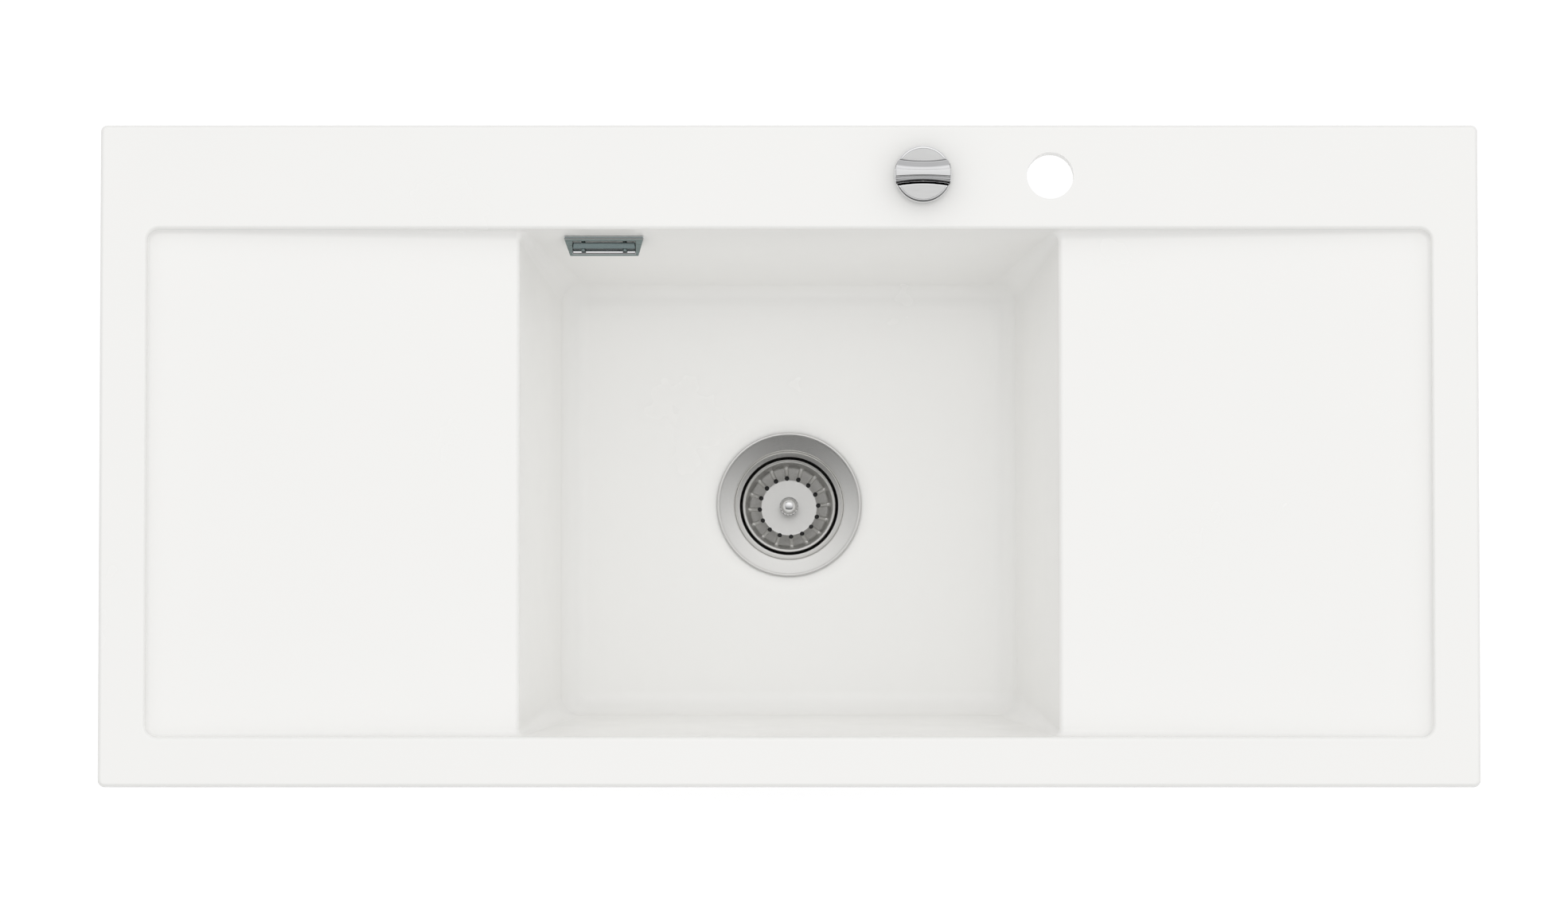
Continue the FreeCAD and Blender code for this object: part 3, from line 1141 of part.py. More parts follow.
def build():
    fill_sheet()
    sink_basin()
    for make in (overflow_bezel, overflow_slat, overflow_screws, overflow_gasket, overflow_elbow, hose,
                 waste_flange, flange_gasket, waste_body, body_spider, waste_fixings, strainer_basket,
                 basket_fittings, lift_lever, lever_shaft, crank_arm, wire_eye, shaft_seals,
                 actuator_case, cable, knob_cap, knob_parts, under_deck):
        make()
    doc.recompute()


def write_parts():
    """Stop on any failed object or shape, then write one STEP file for each sub-part."""
    failed = [item.Name for item in doc.Objects if {"Invalid", "Error"} & set(item.State)]
    if failed:
        raise SystemExit("failed objects: " + ", ".join(failed))
    found = {item.Label: item for item in doc.Objects}
    for name in NODES:
        shape = found[name].Shape
        if shape.isNull() or not shape.isValid() or not shape.Solids:
            raise SystemExit("bad shape: " + name)
    os.makedirs("parts", exist_ok=True)
    for name in NODES:
        shape = found[name].Shape
        shape.exportStep(f"parts/{name}.step")
        print(f"{name}: {len(shape.Solids)} solid, {shape.Volume:.0f} mm3")


build()
write_parts()
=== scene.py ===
import json
import math

import bmesh
import bpy
from mathutils import Matrix, Vector

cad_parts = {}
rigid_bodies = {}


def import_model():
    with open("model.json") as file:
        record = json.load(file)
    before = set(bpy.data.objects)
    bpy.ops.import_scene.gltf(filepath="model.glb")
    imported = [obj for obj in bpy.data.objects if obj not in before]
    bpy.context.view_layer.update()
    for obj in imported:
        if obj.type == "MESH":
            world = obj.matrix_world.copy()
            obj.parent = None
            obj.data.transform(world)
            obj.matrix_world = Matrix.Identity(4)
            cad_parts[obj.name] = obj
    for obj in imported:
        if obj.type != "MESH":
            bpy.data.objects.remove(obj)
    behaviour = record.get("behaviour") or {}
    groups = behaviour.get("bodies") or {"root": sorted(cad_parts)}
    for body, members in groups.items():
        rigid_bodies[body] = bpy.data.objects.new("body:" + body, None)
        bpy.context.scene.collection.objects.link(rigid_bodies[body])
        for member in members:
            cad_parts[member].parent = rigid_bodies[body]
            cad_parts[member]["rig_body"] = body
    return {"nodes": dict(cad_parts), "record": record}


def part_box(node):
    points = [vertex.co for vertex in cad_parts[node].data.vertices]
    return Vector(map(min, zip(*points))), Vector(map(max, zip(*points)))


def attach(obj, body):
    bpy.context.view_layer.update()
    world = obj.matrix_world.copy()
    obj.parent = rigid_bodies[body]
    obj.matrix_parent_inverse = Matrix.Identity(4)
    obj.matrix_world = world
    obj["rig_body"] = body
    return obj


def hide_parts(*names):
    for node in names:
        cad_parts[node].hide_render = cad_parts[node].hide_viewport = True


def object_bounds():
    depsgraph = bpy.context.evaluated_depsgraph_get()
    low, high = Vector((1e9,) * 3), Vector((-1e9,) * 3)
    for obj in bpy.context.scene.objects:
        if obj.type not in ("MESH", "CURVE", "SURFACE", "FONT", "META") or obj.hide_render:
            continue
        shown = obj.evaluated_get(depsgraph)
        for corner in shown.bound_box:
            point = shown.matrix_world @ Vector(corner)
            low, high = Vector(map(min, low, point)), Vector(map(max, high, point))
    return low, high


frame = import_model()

cad_low, cad_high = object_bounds()
MM = 0.001

# ------------------------------------------------------------------ places taken from the frame


def middle(node):
    low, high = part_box(node)
    return (low + high) / 2


basin_low, basin_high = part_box("sink_basin")
HALF_LENGTH = basin_high.x
HALF_WIDTH = basin_high.y
RIM_TOP = basin_high.z
UNDERSIDE = basin_low.z
DRAIN = middle("waste_flange")
KNOB = middle("knob_cap")
flange_low, flange_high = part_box("waste_flange")
FLANGE_RADIUS = (flange_high.x - flange_low.x) / 2

# the basin's own sizes
TRAY_HALF = HALF_LENGTH - 36 * MM
TRAY_BACK = HALF_WIDTH - 80 * MM
TRAY_FRONT = 38 * MM - HALF_WIDTH
TRAY_END = RIM_TOP - 6.5 * MM
LIP = 0.0
BOWL_HALF = 208 * MM
BOWL_WALL = 11 * MM
FLOOR = UNDERSIDE + 12 * MM
WALL_LEAN = math.tan(math.radians(8.7))
SIDE_LEAN = math.tan(math.radians(10.45))
FLOOR_HALF = BOWL_HALF - SIDE_LEAN * (LIP - FLOOR)
SKIRT_INSET = 15 * MM
SKIRT_DEPTH = 10 * MM
RIM_CORNER = 5 * MM
RIM_ROUND = 3 * MM
TRAY_CORNER = 9 * MM
FOOT_ROUND = 3.5 * MM
FOOT_BACK = 8 * MM
FOOT_FRONT = 5.5 * MM
TAPER_END = TRAY_HALF - 55 * MM
LIP_ROUND = 4 * MM
FLOOR_ROUND = 22 * MM
CORNER_LOW = 20 * MM
OUTER_ROUND = 18 * MM
TAP_HOLE = Vector((201 * MM, KNOB.y, 0))
TAP_RADIUS = 18 * MM
KNOB_HOLE_RADIUS = 17 * MM
WASTE_HOLE_RADIUS = 45 * MM
SEAT_RADIUS = FLANGE_RADIUS + 9.5 * MM
SEAT_SLOPE = 0.3
SLOT_HALF_WIDTH = 23 * MM
SLOT_HALF_HEIGHT = 7 * MM
SCREW_REACH = 16 * MM
SPIGOT_RADIUS = 11 * MM
SHAFT_BORE = 3.3 * MM
# a bevel's offset, as a share of the radius that it should give on the leaning walls
LEAN_OFFSET = 0.86
# handle length that makes a quarter circle of a curve, as a share of its radius
QUARTER_HANDLE = 0.5523
# two levels or places closer than this are the same
TOUCH = 0.2 * MM


# ------------------------------------------------------------------ working by hand, in code
def deselect_all():
    if bpy.context.mode != "OBJECT":
        bpy.ops.object.mode_set(mode="OBJECT")
    bpy.ops.object.select_all(action="DESELECT")


def take(piece):
    deselect_all()
    piece.select_set(True)
    bpy.context.view_layer.objects.active = piece


def named(name):
    """Name the new primitive and put its place into its mesh."""
    piece = bpy.context.object
    piece.name = piece.data.name = name
    bpy.ops.object.transform_apply(location=True, rotation=True, scale=True)
    return piece


def block(name, low, high):
    deselect_all()
    low, high = Vector(low), Vector(high)
    bpy.ops.mesh.primitive_cube_add(size=1, location=(low + high) / 2, scale=high - low)
    return named(name)


def bar(name, centre, radius, low, high, count=64):
    """An upright cylinder."""
    deselect_all()
    bpy.ops.mesh.primitive_cylinder_add(
        vertices=count, radius=radius, depth=high - low, location=(centre.x, centre.y, (low + high) / 2))
    return named(name)


def pick(piece, kind, test):
    """Open the piece in edit mode, with what passes test(middle, size) selected."""
    take(piece)
    bpy.ops.object.mode_set(mode="EDIT")
    bpy.ops.mesh.select_mode(type=kind)
    bpy.ops.mesh.select_all(action="DESELECT")
    mesh = bmesh.from_edit_mesh(piece.data)
    for part in {"VERT": mesh.verts, "EDGE": mesh.edges, "FACE": mesh.faces}[kind]:
        points = [part.co] if kind == "VERT" else [corner.co for corner in part.verts]
        low = Vector(min(point[axis] for point in points) for axis in range(3))
        high = Vector(max(point[axis] for point in points) for axis in range(3))
        if test((low + high) / 2, high - low):
            part.select_set(True)
    mesh.select_flush_mode()
    bmesh.update_edit_mesh(piece.data)


def slice_at(piece, place, normal, **settings):
    """Cut all of the piece's faces where they cross a plane."""
    pick(piece, "FACE", lambda middle, size: True)
    bpy.ops.mesh.bisect(plane_co=place, plane_no=normal, **settings)


def bevel(offset, segments):
    bpy.ops.mesh.bevel(offset_type="OFFSET", offset=offset, segments=segments, profile=0.5,
                       affect="EDGES", clamp_overlap=False)


def modify(piece, kind, **settings):
    """Add a modifier, set it and apply it."""
    take(piece)
    modifier = piece.modifiers.new(kind.lower(), kind)
    for key, setting in settings.items():
        setattr(modifier, key, setting)
    bpy.ops.object.modifier_apply(modifier=modifier.name)


def cut(piece, tool, operation="DIFFERENCE"):
    modify(piece, "BOOLEAN", operation=operation, object=tool, solver="EXACT")
    bpy.data.objects.remove(tool)


def smooth(piece, angle=35):
    """Smooth shading that keeps sharp edges, with the large faces left flat."""
    take(piece)
    bpy.ops.object.shade_smooth_by_angle(angle=math.radians(angle))
    modify(piece, "WEIGHTED_NORMAL", keep_sharp=True)


def near(a, b):
    return abs(a - b) < TOUCH


# ------------------------------------------------------------------ the glazed basin
def hollow_shape():
    """The room inside the basin: two sloping trays and the bowl, as a solid that is cut away."""
    wide = 1.2 * HALF_WIDTH
    hollow = block("hollow", (-TRAY_HALF, -wide, TRAY_END), (TRAY_HALF, wide, 2 * RIM_TOP))
    for side in (-BOWL_HALF, BOWL_HALF):
        slice_at(hollow, (side, 0, 0), (1, 0, 0))
    pick(hollow, "VERT", lambda middle, size: near(abs(middle.x), BOWL_HALF) and near(middle.z, TRAY_END))
    bpy.ops.transform.translate(value=(0, 0, LIP - TRAY_END))
    pick(hollow, "FACE", lambda middle, size: near(middle.x, 0) and near(middle.z, LIP) and size.z < TOUCH)
    bpy.ops.mesh.extrude_region_move(TRANSFORM_OT_translate={"value": (0, 0, FLOOR - LIP)})
    bpy.ops.transform.resize(value=(FLOOR_HALF / BOWL_HALF, 1, 1), center_override=(0, 0, FLOOR))

    # lip and floor edges, then the upright corners of the trays
    turn = math.pi / 2 - math.atan(SIDE_LEAN)
    pick(hollow, "EDGE", lambda middle, size: near(middle.z, LIP) and size.y > wide)
    bevel(LIP_ROUND * math.tan(turn / 2), 6)
    pick(hollow, "EDGE", lambda middle, size: near(middle.z, FLOOR) and size.y > wide)
    bevel(FLOOR_ROUND * math.tan(turn / 2), 12)
    for place, lean in ((TRAY_BACK, 1), (TRAY_FRONT, -1)):
        slice_at(hollow, (0, place, RIM_TOP), (0, lean, -WALL_LEAN), clear_outer=True, use_fill=True)
    pick(hollow, "EDGE", lambda middle, size: near(abs(middle.x), TRAY_HALF) and size.z > size.y + TOUCH)
    bevel(TRAY_CORNER, 8)

    # the side walls get level lines, so that the corner rounding can grow towards the floor
    steps = 14
    top, low = LIP - LIP_ROUND, FLOOR + FLOOR_ROUND
    for step in range(1, steps):
        level = top + (low - top) * step / steps
        pick(hollow, "FACE", lambda middle, size: FLOOR_HALF < abs(middle.x) < BOWL_HALF
             and size.y > HALF_WIDTH and abs(middle.z - level) < size.z / 2)
        bpy.ops.mesh.bisect(plane_co=(0, 0, level), plane_no=(0, 0, 1))
    steps = 6
    for step in range(1, steps + 1):
        station = BOWL_HALF + (TAPER_END - BOWL_HALF) * step / steps
        for side in (-station, station):
            slice_at(hollow, (side, 0, 0), (1, 0, 0))
    set_foot_weights(hollow)
    # without loop_slide each edge keeps its own offset, so that no face folds at the trays' corners
    modify(hollow, "BEVEL", limit_method="WEIGHT", offset_type="OFFSET", width=CORNER_LOW, segments=8,
           loop_slide=False, use_clamp_overlap=False)
    return hollow


def set_foot_weights(hollow):
    """Rounding at the foot of the walls: it grows along the trays to the bowl, and down its corners."""
    deselect_all()
    data = hollow.data
    weights = data.attributes.new("bevel_weight_edge", "FLOAT", "EDGE")
    corner = TRAY_HALF - TRAY_CORNER - TOUCH
    walls, bottoms = [], []
    for face in data.polygons:
        if abs(face.normal.y) > 0.9 or (abs(face.center.x) > corner and abs(face.normal.z) < 0.5):
            walls.append(set(face.vertices))
        elif face.center.z < RIM_TOP:
            bottoms.append(set(face.vertices))
    high, low = LIP - LIP_ROUND, FLOOR + FLOOR_ROUND
    leaning = math.tan((math.pi / 2 - math.atan(WALL_LEAN)) / 2)
    for edge in data.edges:
        ends = set(edge.vertices)
        if any(ends <= wall for wall in walls) and any(ends <= bottom for bottom in bottoms):
            place = sum((data.vertices[i].co for i in ends), Vector()) / 2
            share = min(1.0, max(0.0, (high - place.z) / (high - low)))
            by_bowl = FOOT_BACK if place.y > 0 else FOOT_FRONT
            towards = min(1.0, max(0.0, (TAPER_END - abs(place.x)) / (TAPER_END - BOWL_HALF)))
            foot = FOOT_ROUND + (by_bowl - FOOT_ROUND) * towards
            radius = foot + (CORNER_LOW - foot) * share
            ending = min(1.0, max(0.0, (abs(place.x) - TRAY_HALF + TRAY_CORNER) / TRAY_CORNER))
            weights.data[edge.index].value = (leaning + (1 - leaning) * ending) * radius / CORNER_LOW


def outer_shape():
    """Rim slab with its skirt, and the outside of the bowl below it."""
    slab = block("basin_glazed", (-HALF_LENGTH, -HALF_WIDTH, 0), (HALF_LENGTH, HALF_WIDTH, RIM_TOP))
    pick(slab, "EDGE", lambda middle, size: size.z > TOUCH)
    bevel(RIM_CORNER, 8)
    pick(slab, "EDGE", lambda middle, size: near(middle.z, RIM_TOP) and size.z < TOUCH)
    bevel(RIM_ROUND, 5)
    pick(slab, "EDGE", lambda middle, size: near(middle.z, 0) and size.z < TOUCH)
    bevel(1 * MM, 3)
    pick(slab, "FACE", lambda middle, size: near(middle.z, 0) and size.z < TOUCH)
    bpy.ops.mesh.inset(thickness=SKIRT_INSET - 1 * MM, depth=0)
    bpy.ops.mesh.extrude_region_move(TRANSFORM_OT_translate={"value": (0, 0, -SKIRT_DEPTH)})

    reach = RIM_TOP - UNDERSIDE
    top_low = -SKIRT_DEPTH / 2
    bowl = block("bowl_outside",
                 (-BOWL_HALF - BOWL_WALL, TRAY_FRONT - BOWL_WALL + WALL_LEAN * RIM_TOP, UNDERSIDE),
                 (BOWL_HALF + BOWL_WALL, TRAY_BACK + BOWL_WALL - WALL_LEAN * RIM_TOP, top_low))
    pick(bowl, "VERT", lambda middle, size: near(middle.z, UNDERSIDE))
    low_half = FLOOR_HALF + BOWL_WALL - SIDE_LEAN * (FLOOR - UNDERSIDE)
    low_back = TRAY_BACK + BOWL_WALL - WALL_LEAN * reach
    low_front = TRAY_FRONT - BOWL_WALL + WALL_LEAN * reach
    high_back = TRAY_BACK + BOWL_WALL - WALL_LEAN * RIM_TOP
    high_front = TRAY_FRONT - BOWL_WALL + WALL_LEAN * RIM_TOP
    centre_y = (high_back + high_front) / 2
    bpy.ops.transform.resize(
        value=(low_half / (BOWL_HALF + BOWL_WALL), (low_back - low_front) / (high_back - high_front), 1),
        center_override=(0, centre_y, UNDERSIDE))
    pick(bowl, "EDGE", lambda middle, size: middle.z < top_low - TOUCH)
    bevel(OUTER_ROUND * LEAN_OFFSET, 8)
    cut(slab, bowl, "UNION")
    return slab


def turned(name, centre, rows, count=96, closed=True):
    """A circle carried through (radius, level) rows by extruding and resizing it."""
    deselect_all()
    radius, level = rows[0]
    bpy.ops.mesh.primitive_circle_add(vertices=count, radius=radius, location=(centre.x, centre.y, level))
    piece = named(name)
    pick(piece, "EDGE", lambda middle, size: True)
    for (radius, level), (wider, higher) in zip(rows, rows[1:]):
        bpy.ops.mesh.extrude_region_move(TRANSFORM_OT_translate={"value": (0, 0, higher - level)})
        bpy.ops.transform.resize(value=(wider / radius, wider / radius, 1),
                                 center_override=(centre.x, centre.y, higher))
    if not closed:
        bpy.ops.mesh.edge_face_add()
        first_radius, first_level = rows[0]
        pick(piece, "EDGE", lambda middle, size: near(middle.z, first_level) and size.z < TOUCH
             and near(math.hypot(middle.x - centre.x, middle.y - centre.y), first_radius))
        bpy.ops.mesh.edge_face_add()
    pick(piece, "VERT", lambda middle, size: True)
    bpy.ops.mesh.remove_doubles(threshold=0.002 * MM)
    bpy.ops.mesh.normals_make_consistent(inside=False)
    return piece


def glazed_basin():
    basin = outer_shape()
    cut(basin, hollow_shape())
    inner_x = HALF_LENGTH - 18 * MM
    inner_y = HALF_WIDTH - 18 * MM
    pick(basin, "EDGE", lambda middle, size: near(middle.z, RIM_TOP) and size.z < TOUCH
         and abs(middle.x) < inner_x and abs(middle.y) < inner_y and on_recess(middle, size))
    bevel(RIM_ROUND * LEAN_OFFSET, 6)
    for name, centre, radius in (("tap_cut", TAP_HOLE, TAP_RADIUS), ("knob_cut", KNOB, KNOB_HOLE_RADIUS)):
        cut(basin, bar(name, centre, radius, -2 * SKIRT_DEPTH, 2 * RIM_TOP, 96))
    drop = (SEAT_RADIUS - WASTE_HOLE_RADIUS) * SEAT_SLOPE
    above, half_round = 1 * MM, 4 * MM
    rows = [(SEAT_RADIUS + 3 * half_round, FLOOR + above)]
    for step in range(7):
        inwards = step / 6
        rows.append((SEAT_RADIUS + half_round * (1 - 2 * inwards),
                     FLOOR + 0.005 * MM - SEAT_SLOPE * half_round * inwards ** 2))
    rows += [(WASTE_HOLE_RADIUS, FLOOR - drop), (WASTE_HOLE_RADIUS, UNDERSIDE - above)]
    cut(basin, turned("seat_cut", DRAIN, rows, 160, closed=False))
    slot_mid = middle("overflow_slat")
    cut(basin, block("slot_cut",
                     (slot_mid.x - SLOT_HALF_WIDTH, TRAY_BACK - 3 * BOWL_WALL, slot_mid.z - SLOT_HALF_HEIGHT),
                     (slot_mid.x + SLOT_HALF_WIDTH, TRAY_BACK + 2 * BOWL_WALL,
                      slot_mid.z + SLOT_HALF_HEIGHT)))
    smooth(basin, 38)
    return basin


def on_recess(middle, size):
    """Whether a level edge at the rim's top runs along the recess and not across the deck."""
    along_side = near(middle.y, TRAY_BACK) or near(middle.y, TRAY_FRONT)
    along_end = near(abs(middle.x), TRAY_HALF)
    at_corner = abs(middle.x) > TRAY_HALF - TRAY_CORNER - TOUCH and size.length < TRAY_CORNER / 2
    return along_side or along_end or at_corner


# ------------------------------------------------------------------ finishes
def add_node(tree, kind, sockets, **settings):
    """A shader node, each named socket of it linked to what feeds it or set to a value."""
    node = tree.nodes.new("ShaderNode" + kind)
    for name, value in settings.items():
        setattr(node, name, value)
    for label, value in sockets.items():
        if isinstance(value, bpy.types.NodeSocket):
            tree.links.new(value, node.inputs[label])
        else:
            node.inputs[label].default_value = value
    return node


def new_group(name, numbers, colours=()):
    """A shader group with its sockets; returns its tree and its two end nodes."""
    tree = bpy.data.node_groups.new(name, "ShaderNodeTree")
    tree.interface.new_socket(name="Vector", in_out="INPUT", socket_type="NodeSocketVector")
    for label, start in {**numbers, "Gloss Low": 0.2, "Gloss High": 0.3}.items():
        socket = tree.interface.new_socket(name=label, in_out="INPUT", socket_type="NodeSocketFloat")
        socket.default_value = start
    for label in colours:
        tree.interface.new_socket(name=label, in_out="INPUT", socket_type="NodeSocketColor")
    if colours:
        tree.interface.new_socket(name="Colour", in_out="OUTPUT", socket_type="NodeSocketColor")
    for label in ("Roughness", "Height"):
        tree.interface.new_socket(name=label, in_out="OUTPUT", socket_type="NodeSocketFloat")
    return tree, tree.nodes.new("NodeGroupInput"), tree.nodes.new("NodeGroupOutput")


def noise(tree, vector, scale, detail):
    return add_node(tree, "TexNoise", {"Detail": detail, "Vector": vector, "Scale": scale}).outputs["Fac"]


def give_gloss(tree, value, given, result):
    """The group's roughness runs between its two limits, as the value runs over its middle part."""
    node = add_node(tree, "MapRange", {
        "Value": value, "From Min": 0.3, "From Max": 0.7,
        "To Min": given.outputs["Gloss Low"], "To Max": given.outputs["Gloss High"]})
    tree.links.new(node.outputs["Result"], result.inputs["Roughness"])


def make_mottle():
    """Slow cloudiness for colour and gloss, and a fine grain to stand out of the surface."""
    tree, given, result = new_group("mottle", {"Cloud Scale": 12.0, "Grain Scale": 900.0},
                                    ("Colour", "Second Colour"))
    cloud = noise(tree, given.outputs["Vector"], given.outputs["Cloud Scale"], 4.0)
    mix = add_node(tree, "Mix", {"Factor": cloud}, data_type="RGBA")
    tree.links.new(given.outputs["Colour"], mix.inputs[6])
    tree.links.new(given.outputs["Second Colour"], mix.inputs[7])
    tree.links.new(mix.outputs[2], result.inputs["Colour"])
    give_gloss(tree, cloud, given, result)
    tree.links.new(noise(tree, given.outputs["Vector"], given.outputs["Grain Scale"], 2.0),
                   result.inputs["Height"])
    return tree


def make_lathe_lines():
    """Fine rings round the upright axis, as turning and polishing leave them."""
    tree, given, result = new_group("lathe_lines", {"Scale": 900.0})
    rings = add_node(tree, "TexWave", {
        "Distortion": 3.0, "Detail": 3.0, "Detail Scale": 2.0, "Vector": given.outputs["Vector"],
        "Scale": given.outputs["Scale"]}, wave_type="RINGS", rings_direction="Z")
    give_gloss(tree, rings.outputs["Fac"], given, result)
    tree.links.new(rings.outputs["Fac"], result.inputs["Height"])
    return tree


def make_straight_lines():
    """Short straight scratches along X, as a belt leaves them."""
    tree, given, result = new_group("straight_lines", {"Scale": 1500.0})
    stretch = add_node(tree, "Mapping", {"Scale": (0.04, 1, 1), "Vector": given.outputs["Vector"]})
    lines = noise(tree, stretch.outputs["Vector"], given.outputs["Scale"], 3.0)
    give_gloss(tree, lines, given, result)
    tree.links.new(lines, result.inputs["Height"])
    return tree


MOTTLE = make_mottle()
LATHE_LINES = make_lathe_lines()
STRAIGHT_LINES = make_straight_lines()


def new_material(name):
    material = bpy.data.materials.new(name)
    material.use_nodes = True
    tree = material.node_tree
    return material, tree, tree.nodes["Principled BSDF"]


def patterned(name, pattern, values, metallic, strength, depth, centre=(0, 0, 0), turn=0.0):
    """A material with the gloss and grain of a pattern, and the shader and group that make it."""
    material, tree, shader = new_material(name)
    where = add_node(tree, "TexCoord", {})
    mapping = add_node(tree, "Mapping", {
        "Location": Matrix.Rotation(turn, 3, "Z") @ -Vector(centre), "Rotation": (0, 0, turn),
        "Vector": where.outputs["Object"]})
    group = add_node(tree, "Group", {"Vector": mapping.outputs["Vector"], **values}, node_tree=pattern)
    bump = add_node(tree, "Bump", {"Strength": strength, "Distance": depth,
                                   "Height": group.outputs["Height"]})
    shader.inputs["Metallic"].default_value = metallic
    tree.links.new(group.outputs["Roughness"], shader.inputs["Roughness"])
    tree.links.new(bump.outputs["Normal"], shader.inputs["Normal"])
    return material, shader, group


def mottled(name, colour, second, gloss, cloud, grain, strength, metallic=0.0):
    """Glaze, rubber, plastic and cast brass: a cloudy colour and gloss with a fine grain."""
    values = {"Cloud Scale": cloud, "Grain Scale": grain, "Colour": (*colour, 1),
              "Second Colour": (*second, 1), "Gloss Low": gloss[0], "Gloss High": gloss[1]}
    material, shader, group = patterned(name, MOTTLE, values, metallic, strength, 0.1 * MM)
    material.node_tree.links.new(group.outputs["Colour"], shader.inputs["Base Color"])
    return material


def lined(name, lines, colour, gloss, scale, strength, centre=(0, 0, 0), turn=0.0):
    """Metal with turned or belt-sanded lines."""
    values = {"Scale": scale, "Gloss Low": gloss[0], "Gloss High": gloss[1]}
    material, shader, group = patterned(name, lines, values, 1.0, strength, 0.03 * MM, centre, turn)
    shader.inputs["Base Color"].default_value = (*colour, 1)
    return material


WHITE_GLAZE = mottled("white_glaze", (0.945, 0.94, 0.922), (0.937, 0.933, 0.916), (0.2, 0.28), 9, 260, 0.06)
TURNED_STEEL = lined("turned_steel", LATHE_LINES, (0.68, 0.675, 0.66), (0.24, 0.36), 500, 0.1, DRAIN)
PLAIN_STEEL = mottled("plain_steel", (0.6, 0.6, 0.59), (0.55, 0.55, 0.54), (0.2, 0.34), 90, 1500, 0.1, 1.0)
CHROME = mottled("chrome", (0.8, 0.8, 0.8), (0.76, 0.76, 0.77), (0.03, 0.08), 60, 900, 0.02, 1.0)
SATIN_CHROME = lined("satin_chrome", STRAIGHT_LINES, (0.72, 0.72, 0.715), (0.28, 0.42), 1800, 0.2, KNOB)
# painted reflection: a dark base colour stands in for the dark room mirrored in the polished steel trim
DARK_REFLECTION_STEEL = lined("steel_painted_dark_reflection", STRAIGHT_LINES, (0.2, 0.25, 0.25), (0.18, 0.32), 1400, 0.15)
BLACK_RUBBER = mottled("black_rubber", (0.02, 0.02, 0.02), (0.035, 0.035, 0.035), (0.6, 0.85), 120, 1600, 0.3)
BLACK_PLASTIC = mottled("black_plastic", (0.03, 0.03, 0.033), (0.045, 0.045, 0.048), (0.38, 0.5), 60, 1800,
                        0.35)
WHITE_PLASTIC = mottled("white_plastic", (0.72, 0.72, 0.7), (0.66, 0.66, 0.64), (0.3, 0.42), 40, 1400, 0.25)
GREY_HOSE = mottled("grey_hose", (0.42, 0.43, 0.43), (0.37, 0.38, 0.385), (0.34, 0.5), 50, 1200, 0.25)
BRASS = mottled("brass", (0.66, 0.48, 0.2), (0.56, 0.4, 0.16), (0.22, 0.4), 80, 1000, 0.2, 1.0)

FINISH = {
    "fireclay": WHITE_GLAZE, "stainless": PLAIN_STEEL, "chrome": CHROME, "dark_steel": DARK_REFLECTION_STEEL,
    "rubber": BLACK_RUBBER, "black_plastic": BLACK_PLASTIC, "white_plastic": WHITE_PLASTIC,
    "grey_hose": GREY_HOSE, "brass": BRASS,
}
SLOT = {part["node"]: part["material_slot"] for part in frame["record"]["subparts"]}


def dress(piece, node, material=None):
    """The piece stands for its CAD node, rides on the same body and takes its finish."""
    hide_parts(node)
    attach(piece, frame["nodes"][node]["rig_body"])
    piece.data.materials.clear()
    piece.data.materials.append(material or FINISH[SLOT[node]])
    deselect_all()
    return piece


def finish(piece, node, angle=30, material=None):
    """Smooth the piece and let it stand for its CAD node."""
    smooth(piece, angle)
    return dress(piece, node, material)


# ------------------------------------------------------------------ small shaping helpers
def round_edges(piece, width, segments=3, angle=35):
    modify(piece, "BEVEL", limit_method="ANGLE", angle_limit=math.radians(angle), width=width,
           segments=segments, use_clamp_overlap=True)


def place(piece, matrix):
    """Carry the piece's mesh to a new place and turn."""
    take(piece)
    piece.matrix_world = matrix
    bpy.ops.object.transform_apply(location=True, rotation=True, scale=True)


def lay(piece, start, direction):
    """Lay a piece that was made upright at the origin along a direction from a start point."""
    place(piece, Matrix.Translation(start) @ direction.to_track_quat("Z", "Y").to_matrix().to_4x4())


def copies(piece, turns, centre):
    """One tool made of a piece and its copies turned round an upright axis."""
    made = []
    for turn in turns:
        other = piece.copy()
        other.data = piece.data.copy()
        bpy.context.scene.collection.objects.link(other)
        place(other, Matrix.Translation(centre) @ Matrix.Rotation(turn, 4, "Z") @ Matrix.Translation(-centre))
        made.append(other)
    bpy.data.objects.remove(piece)
    deselect_all()
    for other in made:
        other.select_set(True)
    bpy.context.view_layer.objects.active = made[0]
    bpy.ops.object.join()
    return made[0]


def flat(point):
    return Vector((point.x, point.y, 0))


def ring_like(node, inner, edge=0.4 * MM, count=96, material=None):
    """A ring with rounded edges, with the outer radius and levels of its CAD node."""
    low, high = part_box(node)
    radius = (high.x - low.x) / 2
    piece = turned(node + "_round", middle(node), [
        (inner, low.z), (radius, low.z), (radius, high.z), (inner, high.z), (inner, low.z)], count)
    round_edges(piece, edge)
    return finish(piece, node, 35, material=material)


